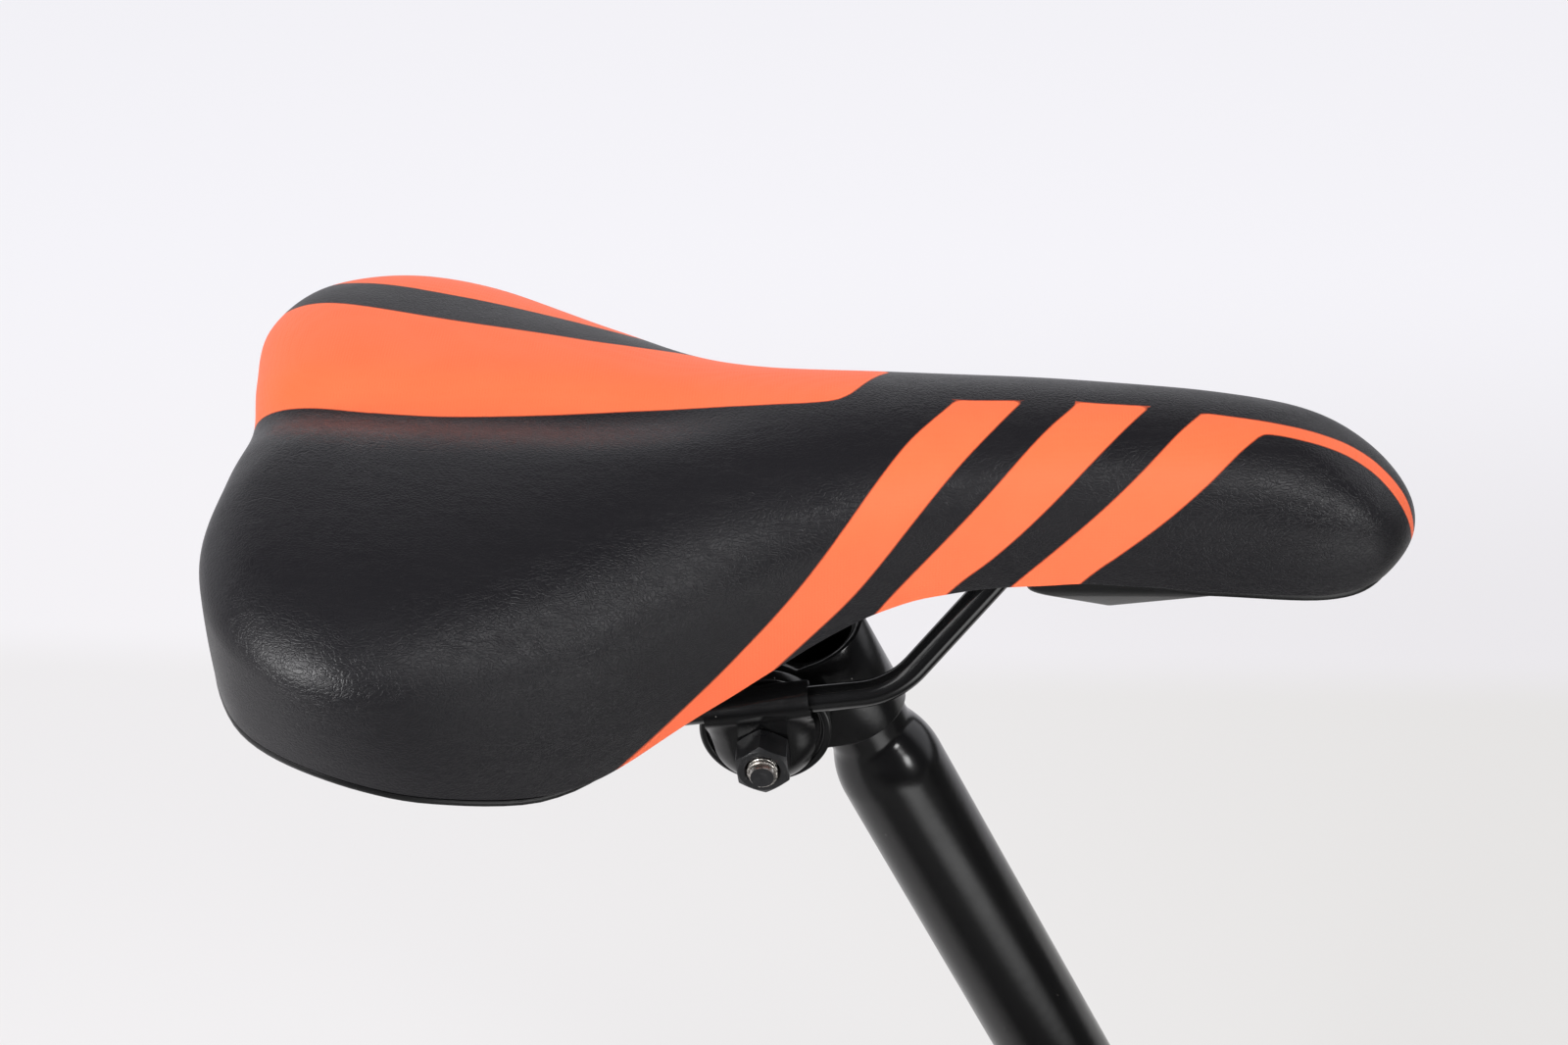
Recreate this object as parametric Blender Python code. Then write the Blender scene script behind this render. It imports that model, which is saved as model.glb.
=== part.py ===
# Bicycle saddle on its rail clamp and swaged seatpost.
# Metres, +Z up, +X towards the nose, +Y to the rider's left. The origin is the centre of the
# post's lower end. The saddle is level, and the post leans back as the seat tube holds it.
import math

import bmesh
import bpy
import numpy as np
from mathutils import Matrix, Vector

for old in list(bpy.data.objects):
    bpy.data.objects.remove(old, do_unlink=True)

# Running and seating clearance between pieces that touch, and the span under which points merge
TOUCH = 0.0003
MERGE = 0.000002

# Seatpost: a steel tube, swaged down at the top to the stub that the clamp grips
POST_LEAN = math.radians(25.0)
POST_LENGTH = 0.300
POST_RADIUS = 0.0143
POST_WALL = 0.0016
STUB_RADIUS = 0.0111
STUB_LENGTH = 0.0335
SWAGE_LENGTH = 0.0085
SWAGE_FILLET = 0.0090
POST_SIDES = 40

# Clamp band: a steel strip bent round the stub, with two serrated ears behind it
BAND_WALL = 0.0017
BAND_HEIGHT = 0.0280
BAND_ABOVE_POST = 0.0015
STUD_BEHIND_POST = 0.0180
STUD_BELOW_BAND_TOP = 0.0100
EAR_RADIUS = 0.0160
EAR_MEETS_TOP = math.radians(35.0)
EAR_MEETS_LOW = math.radians(288.0)
BAND_STEPS = 18

# Serrations: radial teeth on the ears and on the inner plates
TOOTH_COUNT = 30
TOOTH_HEIGHT = 0.0009
TOOTH_INNER_RADIUS = 0.0078
TOOTH_MARGIN = 0.0012

# Stud and nuts (M8, 13 mm across flats)
STUD_RADIUS = 0.0040
STUD_PROUD = 0.0025
STUD_CHAMFER = 0.0007
NUT_ACROSS_FLATS = 0.0130
NUT_HEIGHT = 0.0080
NUT_CHAMFER = 0.0005

# Rails: one steel rod, bent into two legs with a loop at the nose
RAIL_RADIUS = 0.0035
RAIL_HALF_GAUGE = 0.0220
RAIL_TILT = math.radians(9.4)
RAIL_ABOVE_STUD = 0.0106
RAIL_STRAIGHT_FRONT = 0.0325
RAIL_STRAIGHT_REAR = -0.0460
RAIL_FRONT_BEND = 0.0220
RAIL_REAR_BEND = 0.0250
RAIL_RISE_TOP = (0.0612, 0.0470)
RAIL_RISE_BEND = 0.0080
RAIL_LOOP_HALF = 0.0080
RAIL_LOOP_END = (0.1000, 0.0470)
RAIL_REAR_END = (-0.0980, 0.0380, 0.0455)

# Inner plates: serrated discs with a raised pad that carries the rail
DISC_OVERHANG = 0.0010
DISC_THICK = 0.0026
DISC_EDGE = 0.0005
DISC_RIM_WALL = 0.0020
DISC_RIM_SLOPE = 0.0012
DISC_RIM_HEIGHT = 0.0020
PAD_HALF_LENGTH = 0.0135
PAD_BELOW_RAIL = 0.0058
PAD_ABOVE_RAIL = 0.0019
PAD_INSIDE_RAIL = 0.0015

# Outer plates: pressed steel, rolled over the rail at the top and round below
PRESS_WALL = 0.0020
PRESS_HALF_LENGTH = 0.0135
PRESS_ROUND = 0.0122
PRESS_FACE_OUTSIDE_RAIL = 0.0034
PRESS_ROLL_TOP = math.radians(98.0)

# Saddle edge, from the nose tip round to the middle of the tail notch. Each station has its
# length along X from the stud, its half width, and its heights over the stud: of the
# widest line and of the cover's lower edge.
EDGE_STATIONS = (
    (0.1610, 0.0000, 0.0570, 0.0500),
    (0.1550, 0.0140, 0.0585, 0.0480),
    (0.1400, 0.0205, 0.0635, 0.0462),
    (0.1100, 0.0223, 0.0685, 0.0478),
    (0.0700, 0.0243, 0.0705, 0.0500),
    (0.0300, 0.0300, 0.0675, 0.0450),
    (-0.0100, 0.0446, 0.0560, 0.0255),
    (-0.0420, 0.0665, 0.0510, 0.0168),
    (-0.0750, 0.0838, 0.0555, 0.0272),
    (-0.1010, 0.0858, 0.0600, 0.0358),
    (-0.1230, 0.0738, 0.0640, 0.0405),
    (-0.1332, 0.0500, 0.0675, 0.0450),
    (-0.1318, 0.0245, 0.0705, 0.0480),
    (-0.1287, 0.0000, 0.0710, 0.0495),
)
EDGE_STEPS = 2
CROWN_STATIONS = (
    (-0.1330, 0.0870),
    (-0.0960, 0.0855),
    (-0.0600, 0.0846),
    (-0.0300, 0.0844),
    (0.0000, 0.0870),
    (0.0350, 0.0900),
    (0.0700, 0.0908),
    (0.1000, 0.0897),
    (0.1250, 0.0870),
    (0.1610, 0.0800),
)
SPINE_REAR = -0.0980
SPINE_FRONT = 0.1180
SHOULDER_REAR = 3.4
SHOULDER_FRONT = 2.2
SHOULDER_FROM = -0.0950
SHOULDER_TO = 0.0000
GROOVE_DEPTH = 0.0038
GROOVE_HALF_WIDTH = 0.0110
GROOVE_FRONT = 0.0150
GROOVE_FADE = 0.0700
SKIRT_TUCK = 0.0028
SKIRT_TUCK_REAR = 0.0010
SKIRT_TUCK_FROM = -0.1250
SKIRT_TUCK_TO = -0.0900

# Layers of the saddle, from outside to inside
COVER_THICK = 0.0012
FOAM_THICK = 0.0240
FOAM_EDGE = 0.0036
SHELL_WALL = 0.0030
SHELL_LIP = 0.0020
LIP_INSET = 0.0030
LIP_HIDDEN_FROM = -0.0300
LIP_SHOWN_TO = -0.0520
DOME_FULLNESS = 2.6
CROWN_RINGS = (0.0, 0.12, 0.27, 0.43, 0.59, 0.74, 0.87, 0.96, 1.0)
SKIRT_RINGS = (0.35, 0.70, 1.0)
DOME_RINGS = (0.0, 0.20, 0.42, 0.62, 0.79, 0.91, 0.975, 1.0)

# Moulded features under the shell
KEEL_REAR = (0.0650, 0.0134)
KEEL_FRONT = (0.1175, 0.0118)
KEEL_LOW = (0.0860, 0.0080, 0.0335)
KEEL_WALL = 0.0020
SOCKET_RADIUS = 0.0072
SOCKET_DEPTH = 0.0160
SOCKET_FLOOR = 0.0020
SOCKET_NECK = 0.0064
SOCKET_NECK_AHEAD = 0.0060
SOCKET_NECK_BELOW = 0.0029
ROOT_DEPTH = 0.0012
CROSS_ROOT_DEPTH = 0.0009
RIB_THICK = 0.0022
CROSS_RIB_DEPTH = 0.0045
SPINE_RIB_DEPTH = 0.0058
CROSS_RIBS = (-0.0780, -0.0450, -0.0140, 0.0190)
CROSS_RIB_HALF_REAR = 0.0520
CROSS_RIB_HALF_FRONT = 0.0120
SPINE_RIB_PAST = 0.0120

# Frames that the pieces are built in
POST_UP = Vector((-math.sin(POST_LEAN), 0.0, math.cos(POST_LEAN)))
POST_AHEAD = Vector((math.cos(POST_LEAN), 0.0, math.sin(POST_LEAN)))
BAND_TOP = POST_LENGTH + BAND_ABOVE_POST
STUD_HEIGHT = BAND_TOP - STUD_BELOW_BAND_TOP
STUD = POST_UP * STUD_HEIGHT - POST_AHEAD * STUD_BEHIND_POST
POST_FRAME = Matrix.Rotation(-POST_LEAN, 4, "Y")
BAND_FRAME = Matrix.Translation(POST_UP * STUD_HEIGHT) @ POST_FRAME
CLAMP_FRAME = Matrix.Translation(STUD) @ Matrix.Rotation(-RAIL_TILT, 4, "Y")
SADDLE_FRAME = Matrix.Translation(STUD)

# Radii of the serrations and of the discs that carry them
TOOTH_OUTER_RADIUS = EAR_RADIUS - TOOTH_MARGIN
DISC_RADIUS = EAR_RADIUS + DISC_OVERHANG

# Distances across the clamp, from its middle plane outwards
BAND_INNER = STUB_RADIUS + TOUCH
BAND_OUTER = BAND_INNER + BAND_WALL
EAR_CREST = BAND_OUTER + TOOTH_HEIGHT
DISC_CREST = EAR_CREST + TOUCH
DISC_FACE = DISC_CREST + TOOTH_HEIGHT + DISC_THICK
RAIL_GROOVE = RAIL_RADIUS + TOUCH
PAD_FACE = RAIL_HALF_GAUGE - PAD_INSIDE_RAIL
PRESS_MID = RAIL_HALF_GAUGE + PRESS_FACE_OUTSIDE_RAIL + PRESS_WALL / 2
NUT_SEAT = PRESS_MID + PRESS_WALL / 2 + TOUCH
STUD_HALF = NUT_SEAT + NUT_HEIGHT + STUD_PROUD
STUD_HOLE = STUD_RADIUS + TOUCH


def material(name, colour, roughness, metallic):
    """A Principled material."""
    made = bpy.data.materials.new(name)
    made.use_nodes = True
    shader = made.node_tree.nodes["Principled BSDF"]
    shader.inputs["Base Color"].default_value = (*colour, 1.0)
    shader.inputs["Roughness"].default_value = roughness
    shader.inputs["Metallic"].default_value = metallic
    return made


def new_object(name, bm, frame):
    """An object from a bmesh, placed by a frame matrix."""
    bmesh.ops.remove_doubles(bm, verts=bm.verts, dist=MERGE)
    bmesh.ops.recalc_face_normals(bm, faces=bm.faces)
    mesh = bpy.data.meshes.new(name)
    bm.to_mesh(mesh)
    bm.free()
    made = bpy.data.objects.new(name, mesh)
    bpy.context.scene.collection.objects.link(made)
    made.matrix_world = frame
    return made


def finish(made, look, joint):
    """Give a piece its material, smooth round faces and its place under a joint's empty."""
    bm = bmesh.new()
    bm.from_mesh(made.data)
    bmesh.ops.remove_doubles(bm, verts=bm.verts, dist=MERGE)
    bm.to_mesh(made.data)
    bm.free()
    made.data.materials.clear()
    made.data.materials.append(look)
    made.data.shade_smooth()
    made.data.set_sharp_from_angle(angle=math.radians(32.0))
    if joint is not None:
        made.parent = joint
        made.matrix_parent_inverse = joint.matrix_basis.inverted()
    return made


def joint_empty(name, frame):
    """An empty on a joint's axis, which carries the pieces that the joint moves."""
    made = bpy.data.objects.new(name, None)
    bpy.context.scene.collection.objects.link(made)
    made.matrix_world = frame
    return made


def carve(body, tool, operation):
    """Combine a body with a tool by an exact Boolean, and take the tool away."""
    change = body.modifiers.new(operation.lower(), "BOOLEAN")
    change.operation = operation
    change.solver = "EXACT"
    change.object = tool
    bpy.context.view_layer.update()
    graph = bpy.context.evaluated_depsgraph_get()
    result = bpy.data.meshes.new_from_object(body.evaluated_get(graph))
    body.modifiers.clear()
    body.data = result
    bpy.data.objects.remove(tool, do_unlink=True)
    return body


def prism(outline, low, high, axis):
    """A closed outline pushed out from low to high along X, Y or Z."""
    lift = {"X": lambda a, b, h: (h, a, b), "Y": lambda a, b, h: (a, h, b), "Z": lambda a, b, h: (a, b, h)}[axis]
    bm = bmesh.new()
    base = bm.faces.new([bm.verts.new(lift(a, b, low)) for a, b in outline])
    grown = bmesh.ops.extrude_face_region(bm, geom=[base])["geom"]
    top = [item for item in grown if isinstance(item, bmesh.types.BMVert)]
    bmesh.ops.translate(bm, verts=top, vec=Vector(lift(0.0, 0.0, high - low)))
    return bm


def turned(profile, sides):
    """A closed profile of (radius, height) points, turned about Z."""
    bm = bmesh.new()
    points = [bm.verts.new((radius, 0.0, height)) for radius, height in profile]
    pairs = [(points[i - 1], points[i]) for i in range(len(points))]
    edges = [bm.edges.new(pair) for pair in pairs if pair[0].co.x + pair[1].co.x > 0.0]
    bmesh.ops.spin(bm, geom=points + edges, cent=(0, 0, 0), axis=(0, 0, 1), angle=2 * math.pi,
                   steps=sides, use_merge=True)
    return bm


def rod(radius, start, end, sides):
    """A plain round rod between two points, used as a body or as a drill."""
    start, end = Vector(start), Vector(end)
    along = end - start
    bm = bmesh.new()
    bmesh.ops.create_cone(bm, cap_ends=True, segments=sides, radius1=radius, radius2=radius, depth=along.length)
    turn = along.to_track_quat("Z", "Y").to_matrix().to_4x4()
    bm.transform(Matrix.Translation((start + end) / 2) @ turn)
    return bm


def round_corners(corners, steps):
    """A line through corners (point, radius), each turned by an arc of that radius."""
    line = []
    for index, (corner, radius) in enumerate(corners):
        corner = Vector(corner)
        if radius == 0.0:
            line.append(corner)
            continue
        before = (Vector(corners[index - 1][0]) - corner).normalized()
        after = (Vector(corners[(index + 1) % len(corners)][0]) - corner).normalized()
        half = before.angle(after) / 2
        reach = radius / math.tan(half)
        centre = corner + (before + after).normalized() * (radius / math.sin(half))
        first = corner + before * reach - centre
        last = corner + after * reach - centre
        sweep = first.angle(last)
        for step in range(steps + 1):
            share = step / steps
            point = (first * math.sin((1 - share) * sweep) + last * math.sin(share * sweep)) / math.sin(sweep)
            line.append(centre + point)
    return [point for point, before in zip(line, [None] + line) if before is None or (point - before).length > TOUCH]


def arc(centre, radius, start, end, steps):
    """Points of a flat arc, ends included."""
    turns = [start + (end - start) * step / steps for step in range(steps + 1)]
    return [(centre[0] + radius * math.cos(a), centre[1] + radius * math.sin(a)) for a in turns]


# Seatpost, turned from its wall's profile
def build_seatpost(look):
    swage_top = POST_LENGTH - STUB_LENGTH
    swage_low = swage_top - SWAGE_LENGTH
    outer = round_corners([
        ((POST_RADIUS, 0.0), 0.0),
        ((POST_RADIUS, swage_low), SWAGE_FILLET),
        ((STUB_RADIUS, swage_top), SWAGE_FILLET),
        ((STUB_RADIUS, POST_LENGTH), 0.0),
    ], 4)
    inner = [(radius - POST_WALL, height) for radius, height in reversed(outer)]
    made = new_object("seatpost", turned([tuple(p) for p in outer] + inner, POST_SIDES), POST_FRAME)
    return finish(made, look, None)


# Serrations: a profile turned about Z whose heights step between two values, tooth by tooth
def toothed(profile):
    """A body from a closed profile of (radius, height at a crest, height at a root)."""
    bm = bmesh.new()
    rows = []
    for step in range(2 * TOOTH_COUNT):
        turn = math.pi * step / TOOTH_COUNT
        heights = [(radius, root if step % 2 else crest) for radius, crest, root in profile]
        rows.append([bm.verts.new((r * math.cos(turn), r * math.sin(turn), z)) for r, z in heights])
    for row, ahead in zip(rows, rows[1:] + rows[:1]):
        for corner in range(len(profile)):
            beside = (corner + 1) % len(profile)
            bm.faces.new((row[corner], row[beside], ahead[beside], ahead[corner]))
    bmesh.ops.triangulate(bm, faces=[face for face in bm.faces if len({vert.co.z for vert in face.verts}) > 1])
    return bm


# Clamp band: the strip round the stub, cut to a band in front and round ears behind
def build_clamp_band(look, joint):
    rear = -(STUD_BEHIND_POST + EAR_RADIUS + BAND_WALL)
    quarter = math.pi / 2
    strip = [(rear, -BAND_OUTER)] + arc((0, 0), BAND_OUTER, -quarter, quarter, BAND_STEPS) + [(rear, BAND_OUTER)]
    strip += [(rear, BAND_INNER)] + arc((0, 0), BAND_INNER, quarter, -quarter, BAND_STEPS) + [(rear, -BAND_INNER)]
    band = new_object("clamp_band", prism(strip, -BAND_HEIGHT, BAND_HEIGHT, "Z"), BAND_FRAME)
    top = STUD_BELOW_BAND_TOP
    low = top - BAND_HEIGHT
    ahead = BAND_OUTER + BAND_WALL
    side = [(ahead, low), (ahead, top)]
    side += arc((-STUD_BEHIND_POST, 0), EAR_RADIUS, EAR_MEETS_TOP, EAR_MEETS_LOW, 22)
    side.append((-STUD_BEHIND_POST + EAR_RADIUS, low))
    shape = new_object("ear_outline", prism(side, -2 * BAND_OUTER, 2 * BAND_OUTER, "Y"), BAND_FRAME)
    carve(band, shape, "INTERSECT")
    for hand in (-1, 1):
        back, root = BAND_OUTER - BAND_WALL / 2, BAND_OUTER + TOUCH / 3
        teeth = toothed([(TOOTH_INNER_RADIUS, back, back), (TOOTH_OUTER_RADIUS, back, back),
                         (TOOTH_OUTER_RADIUS, EAR_CREST, root), (TOOTH_INNER_RADIUS, EAR_CREST, root)])
        teeth.transform(Matrix.Translation((-STUD_BEHIND_POST, 0, 0)) @ Matrix.Rotation(-hand * quarter, 4, "X"))
        carve(band, new_object("ear_teeth", teeth, BAND_FRAME), "UNION")
    reach = 2 * BAND_OUTER
    drill = rod(STUD_HOLE, (-STUD_BEHIND_POST, -reach, 0), (-STUD_BEHIND_POST, reach, 0), 24)
    carve(band, new_object("stud_drill", drill, BAND_FRAME), "DIFFERENCE")
    return finish(band, look, joint)


# Inner plate: a dished disc, toothed towards the ear, with a grooved pad for the rail
def build_inner_plate(name, hand, look, joint):
    turn = Matrix.Rotation(-hand * math.pi / 2, 4, "X")
    body_low = DISC_CREST + TOOTH_HEIGHT
    rim_top = DISC_FACE + DISC_RIM_HEIGHT
    plain = [
        (TOOTH_OUTER_RADIUS, body_low), (DISC_RADIUS - DISC_EDGE, body_low), (DISC_RADIUS, body_low + DISC_EDGE),
        (DISC_RADIUS, rim_top - DISC_EDGE), (DISC_RADIUS - DISC_EDGE, rim_top), (DISC_RADIUS - DISC_RIM_WALL, rim_top),
        (DISC_RADIUS - DISC_RIM_WALL - DISC_RIM_SLOPE, DISC_FACE), (STUD_HOLE, DISC_FACE), (STUD_HOLE, body_low),
        (TOOTH_INNER_RADIUS, body_low),
    ]
    profile = [(radius, height, height) for radius, height in plain]
    profile += [(radius, DISC_CREST, body_low - TOUCH / 3) for radius in (TOOTH_INNER_RADIUS, TOOTH_OUTER_RADIUS)]
    disc = toothed(profile)
    disc.transform(turn)
    plate = new_object(name, disc, CLAMP_FRAME)
    pad_low = RAIL_ABOVE_STUD - PAD_BELOW_RAIL
    pad_top = RAIL_ABOVE_STUD + PAD_ABOVE_RAIL
    pad = [(-PAD_HALF_LENGTH, pad_low), (PAD_HALF_LENGTH, pad_low), (PAD_HALF_LENGTH, pad_top), (-PAD_HALF_LENGTH, pad_top)]
    low, high = sorted((hand * (body_low + TOOTH_HEIGHT / 2), hand * PAD_FACE))
    carve(plate, new_object("rail_pad", prism(pad, low, high, "Y"), CLAMP_FRAME), "UNION")
    reach = 2 * DISC_RADIUS
    rail_y = hand * RAIL_HALF_GAUGE
    groove = rod(RAIL_GROOVE, (-reach, rail_y, RAIL_ABOVE_STUD), (reach, rail_y, RAIL_ABOVE_STUD), 24)
    carve(plate, new_object("rail_groove", groove, CLAMP_FRAME), "DIFFERENCE")
    return finish(plate, look, joint)


# Outer plate: one sheet section along the rail, cut to its round-bottomed outline
def build_outer_plate(name, hand, look, joint):
    face = PRESS_MID
    mid = RAIL_GROOVE + PRESS_WALL / 2
    meet = -math.acos((face - RAIL_HALF_GAUGE) / mid)
    roll = (RAIL_HALF_GAUGE, RAIL_ABOVE_STUD)
    outside = [(face + PRESS_WALL / 2, -PRESS_ROUND - PRESS_WALL)]
    outside += arc(roll, mid + PRESS_WALL / 2, meet, PRESS_ROLL_TOP, 12)
    inside = arc(roll, mid - PRESS_WALL / 2, PRESS_ROLL_TOP, meet, 12)
    inside.append((face - PRESS_WALL / 2, -PRESS_ROUND - PRESS_WALL))
    section = [(hand * y, z) for y, z in outside + inside]
    plate = new_object(name, prism(section, -2 * PRESS_HALF_LENGTH, 2 * PRESS_HALF_LENGTH, "X"), CLAMP_FRAME)
    top = RAIL_ABOVE_STUD + RAIL_RADIUS + 2 * PRESS_WALL
    step = PRESS_HALF_LENGTH - PRESS_ROUND
    outline = [(PRESS_HALF_LENGTH, top), (PRESS_HALF_LENGTH, step)]
    outline += arc((0, 0), PRESS_ROUND, 0.0, -math.pi, 20)
    outline += [(-PRESS_HALF_LENGTH, step), (-PRESS_HALF_LENGTH, top)]
    reach = RAIL_GROOVE + 2 * PRESS_WALL
    low, high = hand * RAIL_HALF_GAUGE - reach, hand * RAIL_HALF_GAUGE + reach
    carve(plate, new_object("press_outline", prism(outline, low, high, "Y"), CLAMP_FRAME), "INTERSECT")
    drill = rod(STUD_HOLE, (0, hand * PAD_FACE, 0), (0, hand * STUD_HALF, 0), 24)
    carve(plate, new_object("stud_drill", drill, CLAMP_FRAME), "DIFFERENCE")
    return finish(plate, look, joint)


# Stud and nuts
def build_stud(look, joint):
    end = STUD_HALF
    profile = [(0.0, -end), (STUD_RADIUS - STUD_CHAMFER, -end), (STUD_RADIUS, -end + STUD_CHAMFER),
               (STUD_RADIUS, end - STUD_CHAMFER), (STUD_RADIUS - STUD_CHAMFER, end), (0.0, end)]
    bm = turned(profile, 24)
    bm.transform(Matrix.Rotation(math.pi / 2, 4, "X"))
    return finish(new_object("clamp_stud", bm, CLAMP_FRAME), look, joint)


def build_nut(name, hand, look, joint):
    corner = NUT_ACROSS_FLATS / 2 / math.cos(math.pi / 6)
    hexagon = [(corner * math.sin(k * math.pi / 3), corner * math.cos(k * math.pi / 3)) for k in range(6)]
    low, high = sorted((hand * NUT_SEAT, hand * (NUT_SEAT + NUT_HEIGHT)))
    nut = new_object(name, prism(hexagon, low - NUT_CHAMFER, high + NUT_CHAMFER, "Y"), CLAMP_FRAME)
    wide = corner + TOUCH
    face = NUT_ACROSS_FLATS / 2 - TOUCH
    profile = [(0.0, low), (face, low), (wide, low + NUT_CHAMFER), (wide, high - NUT_CHAMFER), (face, high),
               (0.0, high)]
    cone = turned(profile, 24)
    cone.transform(Matrix.Rotation(-math.pi / 2, 4, "X"))
    carve(nut, new_object("nut_chamfer", cone, CLAMP_FRAME), "INTERSECT")
    bore = rod(STUD_HOLE, (0, low - NUT_CHAMFER, 0), (0, high + NUT_CHAMFER, 0), 20)
    carve(nut, new_object("nut_bore", bore, CLAMP_FRAME), "DIFFERENCE")
    return finish(nut, look, joint)


# Rails: the route of one leg from the rear socket to the nose loop, over the stud
def rail_height(x):
    return RAIL_ABOVE_STUD / math.cos(RAIL_TILT) + x * math.tan(RAIL_TILT)


def rail_route():
    loop_x, loop_z = RAIL_LOOP_END
    rise_x, rise_z = RAIL_RISE_TOP
    leg = [
        (RAIL_REAR_END, 0.0),
        ((RAIL_STRAIGHT_REAR, RAIL_HALF_GAUGE, rail_height(RAIL_STRAIGHT_REAR)), RAIL_REAR_BEND),
        ((RAIL_STRAIGHT_FRONT, RAIL_HALF_GAUGE, rail_height(RAIL_STRAIGHT_FRONT)), RAIL_FRONT_BEND),
        ((rise_x, RAIL_LOOP_HALF, rise_z), RAIL_RISE_BEND),
        ((loop_x, RAIL_LOOP_HALF, loop_z), RAIL_LOOP_HALF),
    ]
    other = [((x, -y, z), radius) for (x, y, z), radius in reversed(leg)]
    return round_corners(leg + other, 5)


def build_rails(look, joint):
    curve = bpy.data.curves.new("saddle_rails", "CURVE")
    curve.dimensions = "3D"
    curve.bevel_depth = RAIL_RADIUS
    curve.bevel_resolution = 4
    curve.use_fill_caps = True
    route = rail_route()
    spline = curve.splines.new("POLY")
    spline.points.add(len(route) - 1)
    for point, place in zip(spline.points, route):
        point.co = (*place, 1.0)
    drawn = bpy.data.objects.new("rail_curve", curve)
    bpy.context.scene.collection.objects.link(drawn)
    bpy.context.view_layer.update()
    mesh = bpy.data.meshes.new_from_object(drawn.evaluated_get(bpy.context.evaluated_depsgraph_get()))
    bpy.data.objects.remove(drawn, do_unlink=True)
    bm = bmesh.new()
    bm.from_mesh(mesh)
    return finish(new_object("saddle_rails", bm, SADDLE_FRAME), look, joint)


# Saddle surfaces: ribs run from a spine on the middle plane out to the edge all round, and
# rings join them, so that every layer has the same facets
def smooth_between(stations, place):
    """Heights between stations (place, height), by a monotone cubic."""
    xs = np.array([station[0] for station in stations])
    ys = np.array([station[1] for station in stations])
    step = np.diff(xs)
    slope = np.diff(ys) / step
    lean = np.zeros(len(xs))
    same = slope[:-1] * slope[1:] > 0
    lean[1:-1][same] = 2 * slope[:-1][same] * slope[1:][same] / (slope[:-1] + slope[1:])[same]
    lean[0], lean[-1] = slope[0], slope[-1]
    place = np.clip(place, xs[0], xs[-1])
    at = np.clip(np.searchsorted(xs, place) - 1, 0, len(step) - 1)
    t = (place - xs[at]) / step[at]
    rise = step[at]
    return ((1 + 2 * t) * (1 - t) ** 2 * ys[at] + t * (1 - t) ** 2 * rise * lean[at]
            + t * t * (3 - 2 * t) * ys[at + 1] + t * t * (t - 1) * rise * lean[at + 1])


def saddle_edge():
    """The whole edge as a smooth closed line: place, inward direction, and the two heights."""
    half = [np.array(station) for station in EDGE_STATIONS]
    mirror = np.array((1.0, -1.0, 1.0, 1.0))
    ring = half + [station * mirror for station in reversed(half[1:-1])]
    count = len(ring)
    rows = []
    for index in range(count):
        p0, p1, p2, p3 = (ring[(index + shift) % count] for shift in (-1, 0, 1, 2))
        for step in range(EDGE_STEPS):
            t = step / EDGE_STEPS
            rows.append(0.5 * (2 * p1 + (p2 - p0) * t + (2 * p0 - 5 * p1 + 4 * p2 - p3) * t * t
                               + (3 * p1 - 3 * p2 + p3 - p0) * t ** 3))
    rows = np.array(rows)
    ahead = np.roll(rows[:, :2], -1, axis=0) - np.roll(rows[:, :2], 1, axis=0)
    inward = np.stack([-ahead[:, 1], ahead[:, 0]], axis=1)
    inward /= np.linalg.norm(inward, axis=1)[:, None]
    middle = np.array([(SPINE_REAR + SPINE_FRONT) / 2, 0.0])
    facing = np.sum(inward * (middle - rows[:, :2]), axis=1)
    if facing.sum() < 0:
        inward = -inward
    return rows, inward


def tuck(rows):
    """How far the skirt is drawn in at its lower edge."""
    share = np.clip((rows[:, 0] - SKIRT_TUCK_FROM) / (SKIRT_TUCK_TO - SKIRT_TUCK_FROM), 0.0, 1.0)
    return (SKIRT_TUCK_REAR + (SKIRT_TUCK - SKIRT_TUCK_REAR) * share)[:, None]


def spine_of(rows):
    spine = np.zeros((len(rows), 2))
    spine[:, 0] = np.clip(rows[:, 0], SPINE_REAR, SPINE_FRONT)
    return spine


def groove(x, y):
    """Depth of the soft channel along the middle of the rear."""
    share = np.clip((GROOVE_FRONT - x) / GROOVE_FADE, 0.0, 1.0)
    return GROOVE_DEPTH * share * share * (3 - 2 * share) * np.exp(-(y / GROOVE_HALF_WIDTH) ** 2)


def ring(place, height):
    return np.column_stack([place, height])


def cover_rings():
    """Outside of the cover, from the spine to its lower edge."""
    rows, inward = saddle_edge()
    edge, widest, low = rows[:, :2], rows[:, 2], rows[:, 3] + TOUCH
    spine = spine_of(rows)
    share = np.clip((rows[:, 0] - SHOULDER_FROM) / (SHOULDER_TO - SHOULDER_FROM), 0.0, 1.0)
    power = SHOULDER_REAR + (SHOULDER_FRONT - SHOULDER_REAR) * share
    rings = []
    for out in CROWN_RINGS:
        place = spine + (edge - spine) * out
        crown = smooth_between(CROWN_STATIONS, place[:, 0])
        fall = np.sqrt(np.clip(1 - out ** power, 0.0, 1.0))
        height = widest + (crown - widest) * fall - groove(place[:, 0], place[:, 1]) * (1 - out ** 4)
        rings.append(ring(place, height))
    for down in SKIRT_RINGS:
        rings.append(ring(edge + inward * tuck(rows) * down * down, widest - (widest - low) * down))
    return rings


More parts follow.
